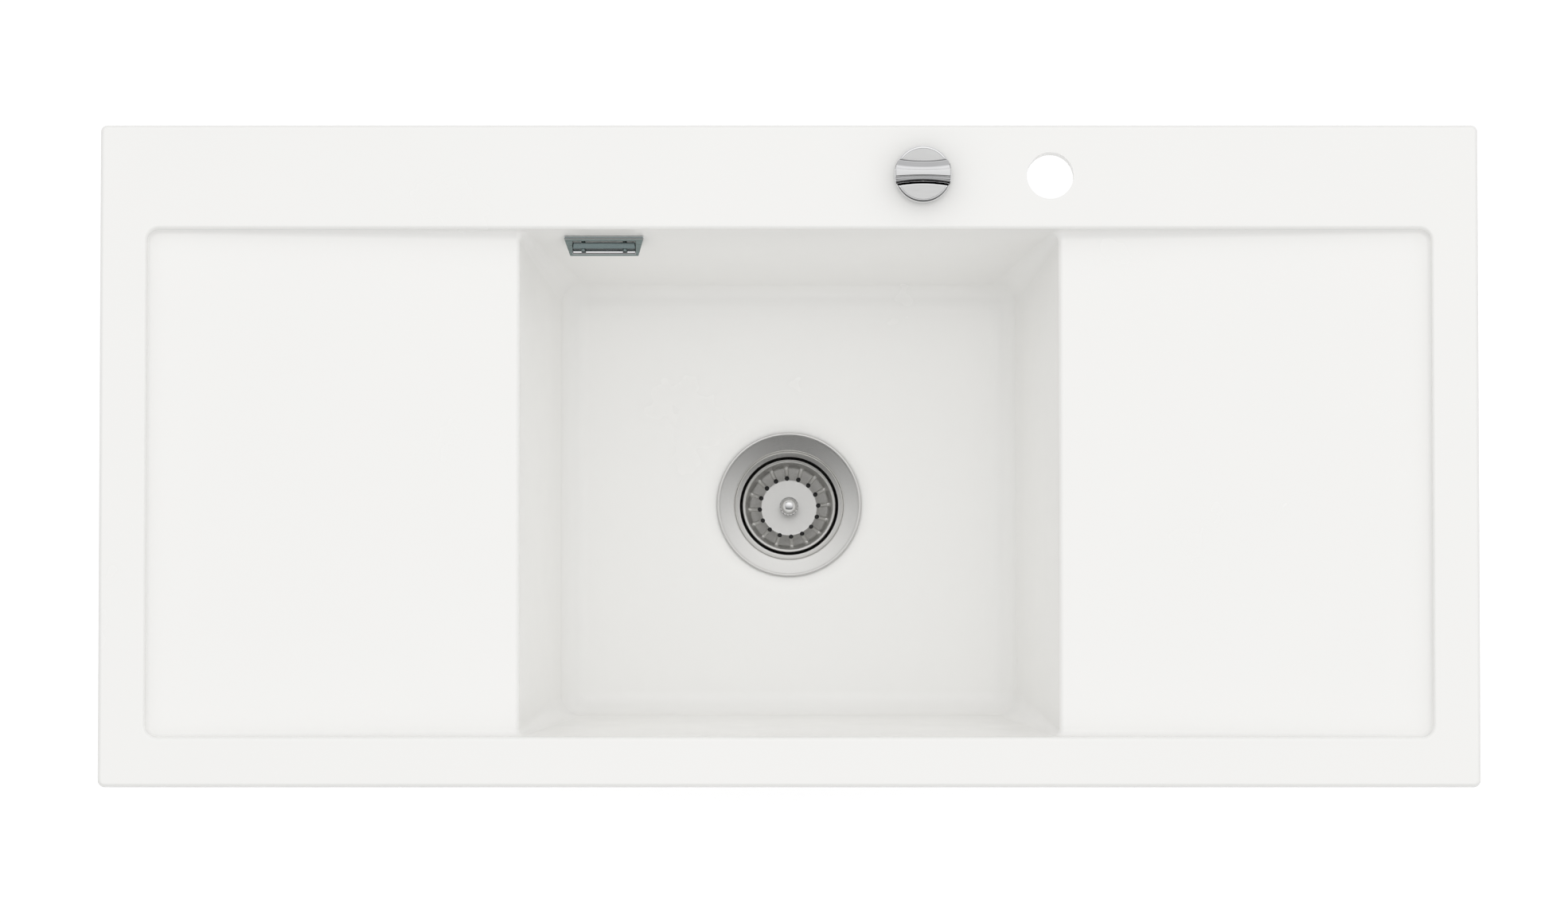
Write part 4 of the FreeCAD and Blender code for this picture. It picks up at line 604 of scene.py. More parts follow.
# ------------------------------------------------------------------ waste flange and basket
def coned_flange():
    low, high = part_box("waste_flange")
    rim, sheet, slope = high.z, 1.2 * MM, 0.3
    throat, sump, hole, screw = 42.5 * MM, 38.5 * MM, 24.2 * MM, 5.2 * MM
    floor, hub = low.z + 9.5 * MM, low.z + 1.5 * MM
    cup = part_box("strainer_basket")[0].z
    cone_foot = rim - slope * (FLANGE_RADIUS - throat - 1.5 * MM)
    ledge = rim - sheet - 11 * MM
    rows = [
        (FLANGE_RADIUS - 0.4 * MM, rim - sheet), (FLANGE_RADIUS, rim - 0.8 * MM),
        (FLANGE_RADIUS, rim - 0.45 * MM), (FLANGE_RADIUS - 0.3 * MM, rim - 0.12 * MM),
        (FLANGE_RADIUS - 0.8 * MM, rim), (FLANGE_RADIUS - 1.5 * MM, rim - 0.05 * MM),
        (FLANGE_RADIUS - 2.1 * MM, rim - 0.35 * MM), (FLANGE_RADIUS - 2.6 * MM, rim - 0.7 * MM),
        (throat + 1.8 * MM, cone_foot), (throat + 1.1 * MM, cone_foot - 0.15 * MM),
        (throat + 0.5 * MM, cone_foot - 0.5 * MM), (throat + 0.1 * MM, cone_foot - 1.1 * MM),
        (throat, cone_foot - 1.7 * MM), (throat, ledge + 0.6 * MM), (throat - 0.6 * MM, ledge),
        (sump + 1.2 * MM, ledge - 0.8 * MM), (sump + 0.3 * MM, ledge - 1.2 * MM),
        (sump, ledge - 2.4 * MM), (38.2 * MM, cup + 14 * MM), (36.4 * MM, cup + 9 * MM),
        (35 * MM, cup + 6.4 * MM),
        (33.4 * MM, cup + 4.6 * MM), (27.4 * MM, floor + 0.6 * MM), (26 * MM, floor),
        (hole, floor), (hole, hub), (screw, hub), (screw, hub - 1.5 * MM),
        (hole + sheet, hub - 1.5 * MM), (hole + sheet, floor - sheet), (27.6 * MM, floor - sheet),
        (34.2 * MM, cup + 3.4 * MM), (37.4 * MM, cup + 8.6 * MM), (sump + sheet, cup + 13 * MM),
        (sump + sheet, ledge - 2.6 * MM), (throat + sheet, ledge - 0.6 * MM),
        (throat + sheet, cone_foot - sheet - 1.2 * MM), (FLANGE_RADIUS - 0.4 * MM, rim - sheet),
    ]
    flange = turned("coned_flange", DRAIN, rows, 160)
    hole_tool = bar("drain_hole", DRAIN + Vector((17.3 * MM, 0, 0)), 6.5 * MM, hub - 4 * MM, hub + 4 * MM, 40)
    count = 6
    cut(flange, copies(hole_tool, [2 * math.pi * i / count for i in range(count)], flat(DRAIN)))
    return finish(flange, "waste_flange", material=TURNED_STEEL)


def fluted_basket():
    """Pressed cup: rolled rim, steep wall, fluted shoulder with a hole at each flute's foot, flat base."""
    low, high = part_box("strainer_basket")
    rim = (high.x - low.x) / 2
    sheet, base = 1 * MM, low.z + 1 * MM
    shoulder = base + 7 * MM
    rows = [
        (3.05 * MM, base), (21.2 * MM, base), (22.2 * MM, base + 0.25 * MM),
        (29.8 * MM, shoulder - 0.8 * MM), (31 * MM, shoulder + 0.4 * MM), (31.6 * MM, shoulder + 1.8 * MM),
        (33.9 * MM, high.z - 1.6 * MM), (34.4 * MM, high.z - 0.6 * MM), (35.1 * MM, high.z - 0.1 * MM),
        (35.8 * MM, high.z), (36.4 * MM, high.z - 0.3 * MM), (rim, high.z - 0.9 * MM),
        (36.4 * MM, high.z - 1.6 * MM), (35.6 * MM, high.z - 1.8 * MM), (34.9 * MM, high.z - 2.2 * MM),
        (32.6 * MM, shoulder + 1.6 * MM), (31.9 * MM, shoulder - 0.2 * MM), (30.5 * MM, shoulder - 1.6 * MM),
        (22.8 * MM, low.z + 0.1 * MM), (21.2 * MM, low.z), (3.05 * MM, low.z), (3.05 * MM, base),
    ]
    basket = turned("fluted_basket", DRAIN, rows, 192)
    count, first = 16, math.radians(4)
    turns = [first + 2 * math.pi * i / count for i in range(count)]
    foot = flat(DRAIN) + Vector((24.6 * MM, 0, base + 1.5 * MM))
    rise = Vector((7.4 * MM, 0, 6 * MM))
    flute = bar("flute", Vector(), 1.75 * MM, 0, rise.length, 24)
    pick(flute, "EDGE", lambda middle, size: size.z < TOUCH)
    bevel(1.1 * MM, 4)
    lay(flute, foot, rise)
    cut(basket, copies(flute, turns, flat(DRAIN)), "UNION")
    hole_tool = bar("flute_hole", DRAIN + Vector((23.1 * MM, 0, 0)), 1.8 * MM, low.z - sheet,
                    base + 5 * MM, 32)
    cut(basket, copies(hole_tool, turns, flat(DRAIN)))
    return finish(basket, "strainer_basket", material=TURNED_STEEL)


def polished_ball():
    """Ball bored from below for its post."""
    centre = middle("lift_ball")
    low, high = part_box("lift_ball")
    radius = (high.z - low.z) / 2
    deselect_all()
    bpy.ops.mesh.primitive_uv_sphere_add(segments=64, ring_count=32, radius=radius, location=centre)
    ball = named("polished_ball")
    cut(ball, bar("post_bore", centre, 3.05 * MM, low.z - radius, centre.z - radius / 2, 32))
    return finish(ball, "lift_ball", 40)


# ------------------------------------------------------------------ knob
VALLEY = 4.6 * MM
FACE_RISE = 7.4 * MM
# how the face rounds over into the valley, in mm outwards and down
EDGE_ROUND = [(-1.2, 0.02), (-0.6, 0.08), (0, 0.2), (0.5, 0.38), (1, 0.62), (1.5, 0.95), (2, 1.4)]


def knob_face_level():
    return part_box("knob_cap")[0].z + FACE_RISE


def channel_tool():
    """What is cut from the knob's face: a valley whose two edges bow towards its middle."""
    face = knob_face_level()
    tool = block("channel_tool", (KNOB.x - 26 * MM, KNOB.y - 14 * MM, face - VALLEY),
                 (KNOB.x + 26 * MM, KNOB.y + 14 * MM, face + 6 * MM))
    bow = 111 * MM
    for side, edge in ((-1, 7.7 * MM), (1, 9.9 * MM)):
        run = edge - 2.2 * MM
        rows = [(bow - 1.8 * MM, face + 7 * MM), (bow - 1.8 * MM, face)]
        for out, down in EDGE_ROUND:
            rows.append((bow + out * MM, face - down * MM))
        shoulder = EDGE_ROUND[-1][1] * MM
        for share, down in ((0.45, 0.5), (0.6, 0.72), (0.78, 0.9), (1, 1)):
            rows.append((bow + run * share, face - shoulder - (VALLEY - shoulder) * down))
        rows.append((bow + run, face - VALLEY - 4 * MM))
        centre = Vector((KNOB.x, KNOB.y + side * (bow + edge), 0))
        cut(tool, turned("segment", centre, rows, 720, closed=False))
    return tool


def grip_bar():
    """Raised bar across the knob, waisted in the middle, flared at its foot and rounded along its edges."""
    low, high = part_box("knob_cap")
    radius = (high.x - low.x) / 2
    foot = knob_face_level() - VALLEY - 1 * MM
    waist, wide = 2.3 * MM, 3.3 * MM
    grip = block("grip_bar", (KNOB.x - radius, KNOB.y - waist, foot),
                 (KNOB.x + radius, KNOB.y + waist, high.z))
    for level in (foot + 1.6 * MM, foot + 3 * MM, foot + 5 * MM):
        slice_at(grip, (0, 0, level), (0, 0, 1))
    stations = 12
    for step in range(1, stations):
        across = KNOB.x - radius + 2 * radius * step / stations
        slice_at(grip, (across, 0, 0), (1, 0, 0))
    for step in range(stations + 1):
        across = KNOB.x - radius + 2 * radius * step / stations
        share = (2 * step / stations - 1) ** 2
        pick(grip, "VERT", lambda middle, size: near(middle.x, across))
        bpy.ops.transform.resize(value=(1, (waist + (wide - waist) * share) / waist, 1),
                                 center_override=(KNOB.x, KNOB.y, high.z))
    for level, flare in ((high.z, 0.92), (foot + 3 * MM, 1.06), (foot + 1.6 * MM, 1.25), (foot, 1.6)):
        pick(grip, "VERT", lambda middle, size: near(middle.z, level))
        bpy.ops.transform.resize(value=(1, flare, 1), center_override=(KNOB.x, KNOB.y, level))
    cut(grip, bar("knob_round", KNOB, radius - 0.45 * MM, foot - 5 * MM, high.z + 5 * MM, 160), "INTERSECT")
    pick(grip, "EDGE", lambda middle, size: near(middle.z, high.z) and size.z < TOUCH
         and (abs(middle.y - KNOB.y) > 0.8 * waist or abs(middle.x - KNOB.x) > radius - 2 * MM))
    bevel(0.8 * MM, 4)
    return grip


def rotary_knob():
    low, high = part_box("knob_cap")
    radius = (high.x - low.x) / 2
    face = knob_face_level()
    bore, pocket_top = 5.05 * MM, low.z + 2 * MM
    rows = [(bore, low.z), (radius - 0.4 * MM, low.z), (radius, low.z + 0.4 * MM), (radius, face - 1.6 * MM),
            (radius - 0.12 * MM, face - 1.1 * MM), (radius - 0.4 * MM, face - 0.65 * MM),
            (radius - 0.85 * MM, face - 0.25 * MM), (radius - 1.5 * MM, face), (radius - 2.1 * MM, face),
            (radius - 2.3 * MM, face - 0.25 * MM), (radius - 2.5 * MM, face - 0.1 * MM)]
    knob = turned("rotary_knob", KNOB, rows + [(bore, face - 0.1 * MM), (bore, low.z)], 192)
    plug = bar("knob_middle", KNOB, bore + 1 * MM, pocket_top, face - 0.3 * MM, 48)
    cut(knob, plug, "UNION")
    cut(knob, channel_tool())
    cut(knob, grip_bar(), "UNION")
    finish(knob, "knob_cap", 32)
    knob.data.materials.append(SATIN_CHROME)
    for polygon in knob.data.polygons:
        away = flat(polygon.center - KNOB)
        on_face = abs(polygon.center.z - face) < 0.15 * MM and polygon.normal.z > 0.99
        if on_face and away.length < radius - 2 * MM:
            polygon.material_index = 1
    return knob


def knob_shank():
    """Spindle whose stub ends under the knob's thin middle."""
    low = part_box("knob_spindle")[0]
    stub, journal, tail = 5 * MM, 7.95 * MM, 6 * MM
    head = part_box("deck_bushing")[1].z
    step = low.z + 21.7 * MM
    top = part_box("knob_cap")[0].z + 1.8 * MM
    pole, chamfer, edge = 0.01 * MM, 0.6 * MM, 0.3 * MM
    rows = [(pole, low.z), (tail - chamfer, low.z), (tail, low.z + chamfer), (tail, step), (journal, step),
            (journal, head), (stub, head), (stub, top - edge), (stub - edge, top), (pole, top)]
    shank = turned("knob_shank", KNOB, rows, 48, closed=False)
    return finish(shank, "knob_spindle")


# ------------------------------------------------------------------ overflow trim
def overflow_frame():
    """Tapered frame that stands further out of the wall towards its foot."""
    low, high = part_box("overflow_bezel")
    centre = middle("overflow_bezel").x
    top_half, low_half = (high.x - low.x) / 2, 26.5 * MM
    wall_top = TRAY_BACK - WALL_LEAN * (RIM_TOP - high.z) - TOUCH
    wall_low = TRAY_BACK - WALL_LEAN * (RIM_TOP - low.z) - TOUCH
    proud_top, proud_low = 2.2 * MM, wall_low - low.y
    piece = block("overflow_frame", (centre - top_half, wall_top - proud_top, low.z),
                  (centre + top_half, wall_top, high.z))
    pick(piece, "VERT", lambda middle, size: near(middle.z, low.z))
    bpy.ops.transform.resize(value=(low_half / top_half, 1, 1), center_override=(centre, 0, low.z))
    bpy.ops.transform.translate(value=(0, wall_low - wall_top, 0))
    pick(piece, "VERT", lambda middle, size: near(middle.z, low.z) and near(middle.y, wall_low - proud_top))
    bpy.ops.transform.translate(value=(0, proud_top - proud_low, 0))
    window_half, border, beyond = 24.3 * MM, 4 * MM, 9 * MM
    cut(piece, block("window", (centre - window_half, low.y - beyond, low.z + border),
                     (centre + window_half, high.y + beyond, high.z - border)))
    round_edges(piece, 0.6 * MM, 3, 20)
    finish(piece, "overflow_bezel")
    return paint_edge_highlights(piece, low.z + border)


def paint_edge_highlights(piece, sill):
    """Painted highlights: bright metal on the rounded edges that look up, and on the window's sill, where the
    light catches them.
    """
    piece.data.materials.append(CHROME)
    for polygon in piece.data.polygons:
        # painted highlight: faces turned upwards and the sill take the bright chrome
        faces_up_highlight = 0.45 < polygon.normal.z < 0.999
        if faces_up_highlight or near(polygon.center.z, sill):
            polygon.material_index = 1
    return piece


def overflow_bar():
    low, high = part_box("overflow_slat")
    piece = block("overflow_bar", low, high)
    centre = middle("overflow_slat")
    for side in (-1, 1):
        hole = bar("screw_hole", Vector(), 1.65 * MM, -9 * MM, 9 * MM, 24)
        lay(hole, Vector((centre.x + side * SCREW_REACH, centre.y, centre.z)), Vector((0, 1, 0)))
        cut(piece, hole)
    round_edges(piece, 0.6 * MM, 3)
    return finish(piece, "overflow_slat")


# ------------------------------------------------------------------ under the bowl
CABLE_SIDE = 56.35 * MM
LEVER_ARM = 22 * MM
KNOB_REACH = flat(KNOB - DRAIN).length
CABLE_TURN = math.atan2(KNOB.y - DRAIN.y, KNOB.x - DRAIN.x) + math.asin(CABLE_SIDE / KNOB_REACH)
ALONG = Vector((math.cos(CABLE_TURN), math.sin(CABLE_TURN), 0))
ACROSS = Vector((math.sin(CABLE_TURN), -math.cos(CABLE_TURN), 0))
LEVER_LEVEL = middle("lever_shaft").z
CABLE_LEVEL = LEVER_LEVEL + 12 * MM
# distances from the drain's axis along the hose's last run
SPIGOT_START = 45.5 * MM
HOSE_END = 51 * MM
NUT_START = 53 * MM
HOSE_TOP = flat(middle("hose_top_nut"))
HOSE_RUN = flat(HOSE_TOP - DRAIN).normalized()
HOSE_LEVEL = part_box("overflow_hose")[0].z + 13 * MM


def by_cable(along, across, level):
    """A place beside the drain, along and across the line in which the cable arrives."""
    return flat(DRAIN) + ALONG * along + ACROSS * across + Vector((0, 0, level))


def by_hose(along):
    """A place on the level line in which the overflow's hose reaches the drain."""
    return flat(DRAIN) + HOSE_RUN * along + Vector((0, 0, HOSE_LEVEL))


def drain_cup():
    """Plastic cup with its clamping flange, gussets, the lever's boss and the overflow's spigot."""
    low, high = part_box("waste_body")
    inside, outside, brim, wall, hole = 44 * MM, 47 * MM, 60 * MM, 3 * MM, 22.75 * MM
    under = high.z - 4 * MM
    rows = [
        (inside, high.z), (brim - 0.6 * MM, high.z), (brim, high.z - 0.6 * MM), (brim, under + 0.8 * MM),
        (brim - 0.8 * MM, under), (outside + 2 * MM, under), (outside + 0.6 * MM, under - 0.6 * MM),
        (outside, under - 2 * MM), (outside, low.z + 4 * MM), (outside - 0.6 * MM, low.z + 1.8 * MM),
        (outside - 1.8 * MM, low.z + 0.6 * MM), (outside - 4 * MM, low.z), (hole, low.z),
        (hole, low.z + wall), (inside, low.z + wall), (inside, high.z),
    ]
    cup = turned("drain_cup", DRAIN, rows, 128)
    gusset = block("gusset", (DRAIN.x + outside - wall / 2, DRAIN.y - wall / 2, under - 16 * MM),
                   (DRAIN.x + brim - 2 * MM, DRAIN.y + wall / 2, under + wall / 2))
    pick(gusset, "VERT",
         lambda middle, size: middle.z < under - wall and middle.x > DRAIN.x + outside + wall)
    bpy.ops.transform.translate(value=(outside + 0.2 * MM - (brim - 2 * MM), 0, 0))
    count = 8
    turns = [CABLE_TURN + 2 * math.pi * (i + 0.5) / count for i in range(count)]
    cut(cup, copies(gusset, turns, flat(DRAIN)), "UNION")
    boss = bar("boss", Vector(), 7 * MM, 0, 10.4 * MM, 48)
    lay(boss, by_cable(LEVER_ARM, 38.9 * MM, LEVER_LEVEL), ACROSS)
    cut(cup, boss, "UNION")
    bore = bar("shaft_bore", Vector(), SHAFT_BORE, 0, 20 * MM, 32)
    lay(bore, by_cable(LEVER_ARM, 35 * MM, LEVER_LEVEL), ACROSS)
    cut(cup, bore)
    spigot = bar("spigot", Vector(), SPIGOT_RADIUS, 0, 29.5 * MM, 48)
    lay(spigot, by_hose(SPIGOT_START), HOSE_RUN)
    cut(cup, spigot, "UNION")
    return finish(cup, "waste_body", 32)


def threaded_outlet():
    """Outlet tube with a coarse thread round its lower end."""
    low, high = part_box("outlet_tube")
    outer, bore, neck, root = 23.9 * MM, 21.5 * MM, 22.7 * MM, 23 * MM
    rows = [(bore, low.z), (root - 0.4 * MM, low.z), (root, low.z + 0.6 * MM)]
    pitch, turns = 2.4 * MM, 7
    for step in range(turns):
        start = low.z + 1.6 * MM + step * pitch
        rows += [(root, start), (outer, start + 0.7 * MM), (outer, start + 1.2 * MM),
                 (root, start + 1.9 * MM)]
    smooth_start = low.z + 1.6 * MM + turns * pitch + 1.5 * MM
    shoulder = high.z - 3 * MM
    rows += [(root, smooth_start), (outer, smooth_start + 0.9 * MM), (outer, shoulder), (neck, shoulder),
             (neck, high.z), (bore, high.z), (bore, low.z)]
    tube = turned("threaded_outlet", DRAIN, rows, 96)
    return finish(tube, "outlet_tube", 35)


def bent_path(name, top, low_end, bend):
    """A line that drops, bends a quarter turn and runs level to its end; returns it and its length."""
    run = flat(low_end - top).normalized()
    corner = Vector((top.x, top.y, low_end.z))
    start, finish = corner + Vector((0, 0, bend)), corner + run * bend
    pull = QUARTER_HANDLE * bend
    deselect_all()
    bpy.ops.curve.primitive_bezier_curve_add(location=(0, 0, 0))
    path = bpy.context.object
    path.name = name
    path.data.resolution_u = 64
    spline = path.data.splines[0]
    spline.bezier_points.add(2)
    stations = [
        (top, top - (start - top) / 3, top + (start - top) / 3),
        (start, start - (start - top) / 3, start - Vector((0, 0, pull))),
        (finish, finish - run * pull, finish + (low_end - finish) / 3),
        (low_end, low_end - (low_end - finish) / 3, low_end + (low_end - finish) / 3),
    ]
    for point, (place_, before, after) in zip(spline.bezier_points, stations):
        point.handle_left_type = point.handle_right_type = "FREE"
        point.co, point.handle_left, point.handle_right = place_, before, after
    length = (top - start).length + bend * math.pi / 2 + (low_end - finish).length
    return path, length


def laid_tube(name, node, path, length, rib, pitch, wall, count):
    """One rib of a tube, repeated to the full length, given a wall and bent along the path."""
    repeats = round(length / pitch)
    stretch = length / (repeats * pitch)
    tube = turned(name, Vector(), [(radius, level * stretch) for radius, level in rib], count)
    modify(tube, "ARRAY", count=repeats, use_relative_offset=False, use_constant_offset=True,
           constant_offset_displace=(0, 0, pitch * stretch), use_merge_vertices=True,
           merge_threshold=0.02 * MM)
    modify(tube, "SOLIDIFY", thickness=wall, offset=-1)
    modify(tube, "CURVE", object=path, deform_axis="POS_Z")
    bpy.data.objects.remove(path)
    pick(tube, "FACE", lambda middle, size: True)
    bpy.ops.mesh.normals_make_consistent(inside=False)
    return finish(tube, node, 40)


def ribbed_hose():
    top = HOSE_TOP + Vector((0, 0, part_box("overflow_hose")[1].z))
    path, length = bent_path("hose_path", top, by_hose(HOSE_END), 70 * MM)
    valley, crest = 11.9 * MM, 12.95 * MM
    rib = [(valley, 0), (valley, 1 * MM), (crest - 0.2 * MM, 1.5 * MM), (crest, 1.9 * MM),
           (crest, 3.1 * MM), (crest - 0.2 * MM, 3.5 * MM), (valley, 4 * MM)]
    return laid_tube("ribbed_hose", "overflow_hose", path, length, rib, 4 * MM, 0.6 * MM, 40)


def pull_sheath():
    low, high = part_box("cable_sheath")
    radius, pitch = 3 * MM, 3 * MM
    top = flat(KNOB) + Vector((0, 0, high.z))
    path, length = bent_path("sheath_path", top, by_cable(50.4 * MM, CABLE_SIDE, low.z + radius), 60 * MM)
    rib = [(radius - 0.1 * MM, 0), (radius, 0.4 * MM), (radius, pitch - 0.4 * MM), (radius - 0.1 * MM, pitch)]
    return laid_tube("pull_sheath", "cable_sheath", path, length, rib, pitch, 1.7 * MM, 24)


def fluted_ring(name, inner, outer, length, flutes, depth):
    """An upright ring from the origin, with grip flutes round it."""
    edge = 0.9 * MM
    sides = 4 * flutes
    ring = turned(name, Vector(), [
        (inner, 0), (outer - edge, 0), (outer - 0.3 * edge, 0.3 * edge), (outer, edge),
        (outer, length - edge), (outer - 0.3 * edge, length - 0.3 * edge), (outer - edge, length),
        (inner, length), (inner, 0)], sides)

    def is_flute(middle, size):
        part = int((math.atan2(middle.y, middle.x) % (2 * math.pi)) / (2 * math.pi) * sides)
        return size.z > length / 2 and middle.xy.length > (inner + outer) / 2 and part % 4 in (0, 1)

    pick(ring, "FACE", is_flute)
    bpy.ops.mesh.extrude_region_move(TRANSFORM_OT_translate={"value": (0, 0, 0)})
    share = (outer - depth) / outer
    bpy.ops.transform.resize(value=(share, share, (length - 4 * edge) / (length - 2 * edge)),
                             center_override=(0, 0, length / 2))
    smooth(ring, 30)
    return ring


def hose_nuts():
    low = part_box("hose_top_nut")[0]
    inner, outer, length = 13.2 * MM, 16 * MM, 14 * MM
    top = fluted_ring("hose_nut_high", inner, outer, length, 18, 0.9 * MM)
    place(top, Matrix.Translation(HOSE_TOP + Vector((0, 0, low.z))))
    dress(top, "hose_top_nut")
    foot = fluted_ring("hose_nut_low", inner, outer, length, 18, 0.9 * MM)
    lay(foot, by_hose(NUT_START), HOSE_RUN)
    dress(foot, "hose_bottom_nut")


def overflow_box():
    """Plastic box behind the wall: slanting front with its slot, rounded edges, a spigot below."""
    low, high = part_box("overflow_elbow")
    centre = middle("overflow_elbow")
    lowest = high.z - 28 * MM
    skew = WALL_LEAN * 28 * MM
    wall = 3 * MM
    box = block("overflow_box", (low.x, low.y, lowest), (high.x, high.y, high.z))
    pick(box, "VERT", lambda middle, size: near(middle.y, low.y) and near(middle.z, high.z))
    bpy.ops.transform.translate(value=(0, skew, 0))
    pick(box, "EDGE", lambda middle, size: middle.y > centre.y)
    bevel(3 * MM, 5)
    slot_level = middle("overflow_slat").z
    cut(box, block("box_room", (centre.x - SLOT_HALF_WIDTH, low.y - wall, slot_level - SLOT_HALF_HEIGHT),
                   (centre.x + SLOT_HALF_WIDTH, high.y - wall, slot_level + SLOT_HALF_HEIGHT)))
    cut(box, bar("box_spigot", HOSE_TOP, SPIGOT_RADIUS, low.z, lowest + wall, 48), "UNION")
    for side in (-1, 1):
        boss = bar("screw_boss", Vector(), 4.5 * MM, 0, 20 * MM, 32)
        lay(boss, Vector((centre.x + side * SCREW_REACH, high.y - wall, slot_level)), Vector((0, -1, 0)))
        cut(box, boss, "UNION")
    return finish(box, "overflow_elbow")


def hexagon_nut():
    low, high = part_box("deck_nut")
    flats, chamfer = 44 * MM, 1.4 * MM
    corner = flats / 2 / math.cos(math.pi / 6)
    nut = bar("hexagon_nut", KNOB, corner, low.z, high.z, 6)
    cut(nut, bar("nut_bore", KNOB, 15.55 * MM, low.z - chamfer, high.z + chamfer, 96))
    cap = turned("nut_cap", KNOB, [
        (flats / 2, low.z), (corner + 0.2 * MM, low.z + chamfer), (corner + 0.2 * MM, high.z - chamfer),
        (flats / 2, high.z)], 96, closed=False)
    cut(nut, cap, "INTERSECT")
    round_edges(nut, 0.3 * MM, 2, 30)
    return finish(nut, "deck_nut")


def slide_case():
    """Case under the deck with a ribbed grip, and its lid."""
    low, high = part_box("pull_case")
    radius, grip, bore = 19 * MM, 15.6 * MM, 14.2 * MM
    shoulder = high.z - 7.6 * MM
    rows = [(bore, low.z), (radius - 0.8 * MM, low.z), (radius - 0.2 * MM, low.z + 0.3 * MM),
            (radius - 0.2 * MM, low.z + 8 * MM), (radius - 1.2 * MM, low.z + 9 * MM)]
    rows += [(radius - 1.2 * MM, shoulder - 4 * MM), (radius - 0.2 * MM, shoulder - 3 * MM),
             (radius, shoulder), (radius, high.z - 0.8 * MM), (radius - 0.8 * MM, high.z), (grip, high.z),
             (grip, shoulder), (bore, shoulder), (bore, low.z)]
    case = turned("slide_case", KNOB, rows, 96)
    rib = block("case_rib", (KNOB.x + radius - 2.4 * MM, KNOB.y - 0.8 * MM, low.z + 7 * MM),
                (KNOB.x + radius - 0.25 * MM, KNOB.y + 0.8 * MM, shoulder - 2 * MM))
    count = 12
    cut(case, copies(rib, [2 * math.pi * i / count for i in range(count)], flat(KNOB)), "UNION")
    finish(case, "pull_case")
    low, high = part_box("pull_case_lid")
    rows = [(3.2 * MM, low.z), (radius - 2.5 * MM, low.z), (radius - 0.6 * MM, low.z + 0.6 * MM),
            (radius, low.z + 1.6 * MM), (radius, high.z), (3.2 * MM, high.z), (3.2 * MM, low.z)]
    lid = turned("slide_case_lid", KNOB, rows, 96)
    return finish(lid, "pull_case_lid")


def threaded_bushing():
    """Brass sleeve through the deck; its thread shows below the nut."""
    low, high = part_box("deck_bushing")
    head, body, bore, root = 20 * MM, 15.5 * MM, 8 * MM, 14.8 * MM
    collar = high.z - 3 * MM
    rows = [(bore, low.z), (root - 0.5 * MM, low.z), (root, low.z + 0.5 * MM)]
    pitch, turns = 1.5 * MM, 17
    for step in range(turns):
        start = low.z + 1 * MM + step * pitch
        rows += [(root, start), (body, start + 0.6 * MM), (body, start + 0.8 * MM),
                 (root, start + 1.35 * MM)]
    rows += [(root, collar - 1 * MM), (body, collar - 0.6 * MM), (body, collar), (head, collar),
             (head, high.z), (bore, high.z), (bore, low.z)]
    bushing = turned("threaded_bushing", KNOB, rows, 96)
    return finish(bushing, "deck_bushing")


def cable_ends():
    """The two ferrules that grip the sheath, each with a rounded shoulder."""
    low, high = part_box("upper_ferrule")
    radius, neck, tight, small = 5 * MM, 3 * MM, 3.1 * MM, 1.2 * MM
    step, edge = low.z + 10 * MM, 0.8 * MM
    rows = [(tight, low.z), (radius - edge, low.z), (radius, low.z + edge), (radius, step - edge),
            (radius - edge, step), (neck, step), (neck, high.z), (small, high.z), (small, low.z + 6 * MM),
            (tight, low.z + 6 * MM), (tight, low.z)]
    top = turned("ferrule_high", KNOB, rows, 48)
    finish(top, "upper_ferrule")
    rows = [(small, 0), (neck, 0), (neck, 4.2 * MM), (radius - edge, 4.2 * MM), (radius, 4.2 * MM + edge),
            (radius, 14.2 * MM - edge), (radius - edge, 14.2 * MM), (tight, 14.2 * MM), (tight, 8.2 * MM),
            (small, 8.2 * MM), (small, 0)]
    foot = turned("ferrule_low", Vector(), rows, 48)
    smooth(foot, 30)
    lay(foot, by_cable(42 * MM, CABLE_SIDE, CABLE_LEVEL), ALONG)
    return dress(foot, "lower_ferrule")


def by_case(name, along, level, across):
    """A box beside the drain that lies along and across the cable's line; each pair is low, high."""
    return block(name, (along[0], -across[1], level[0]), (along[1], -across[0], level[1]))


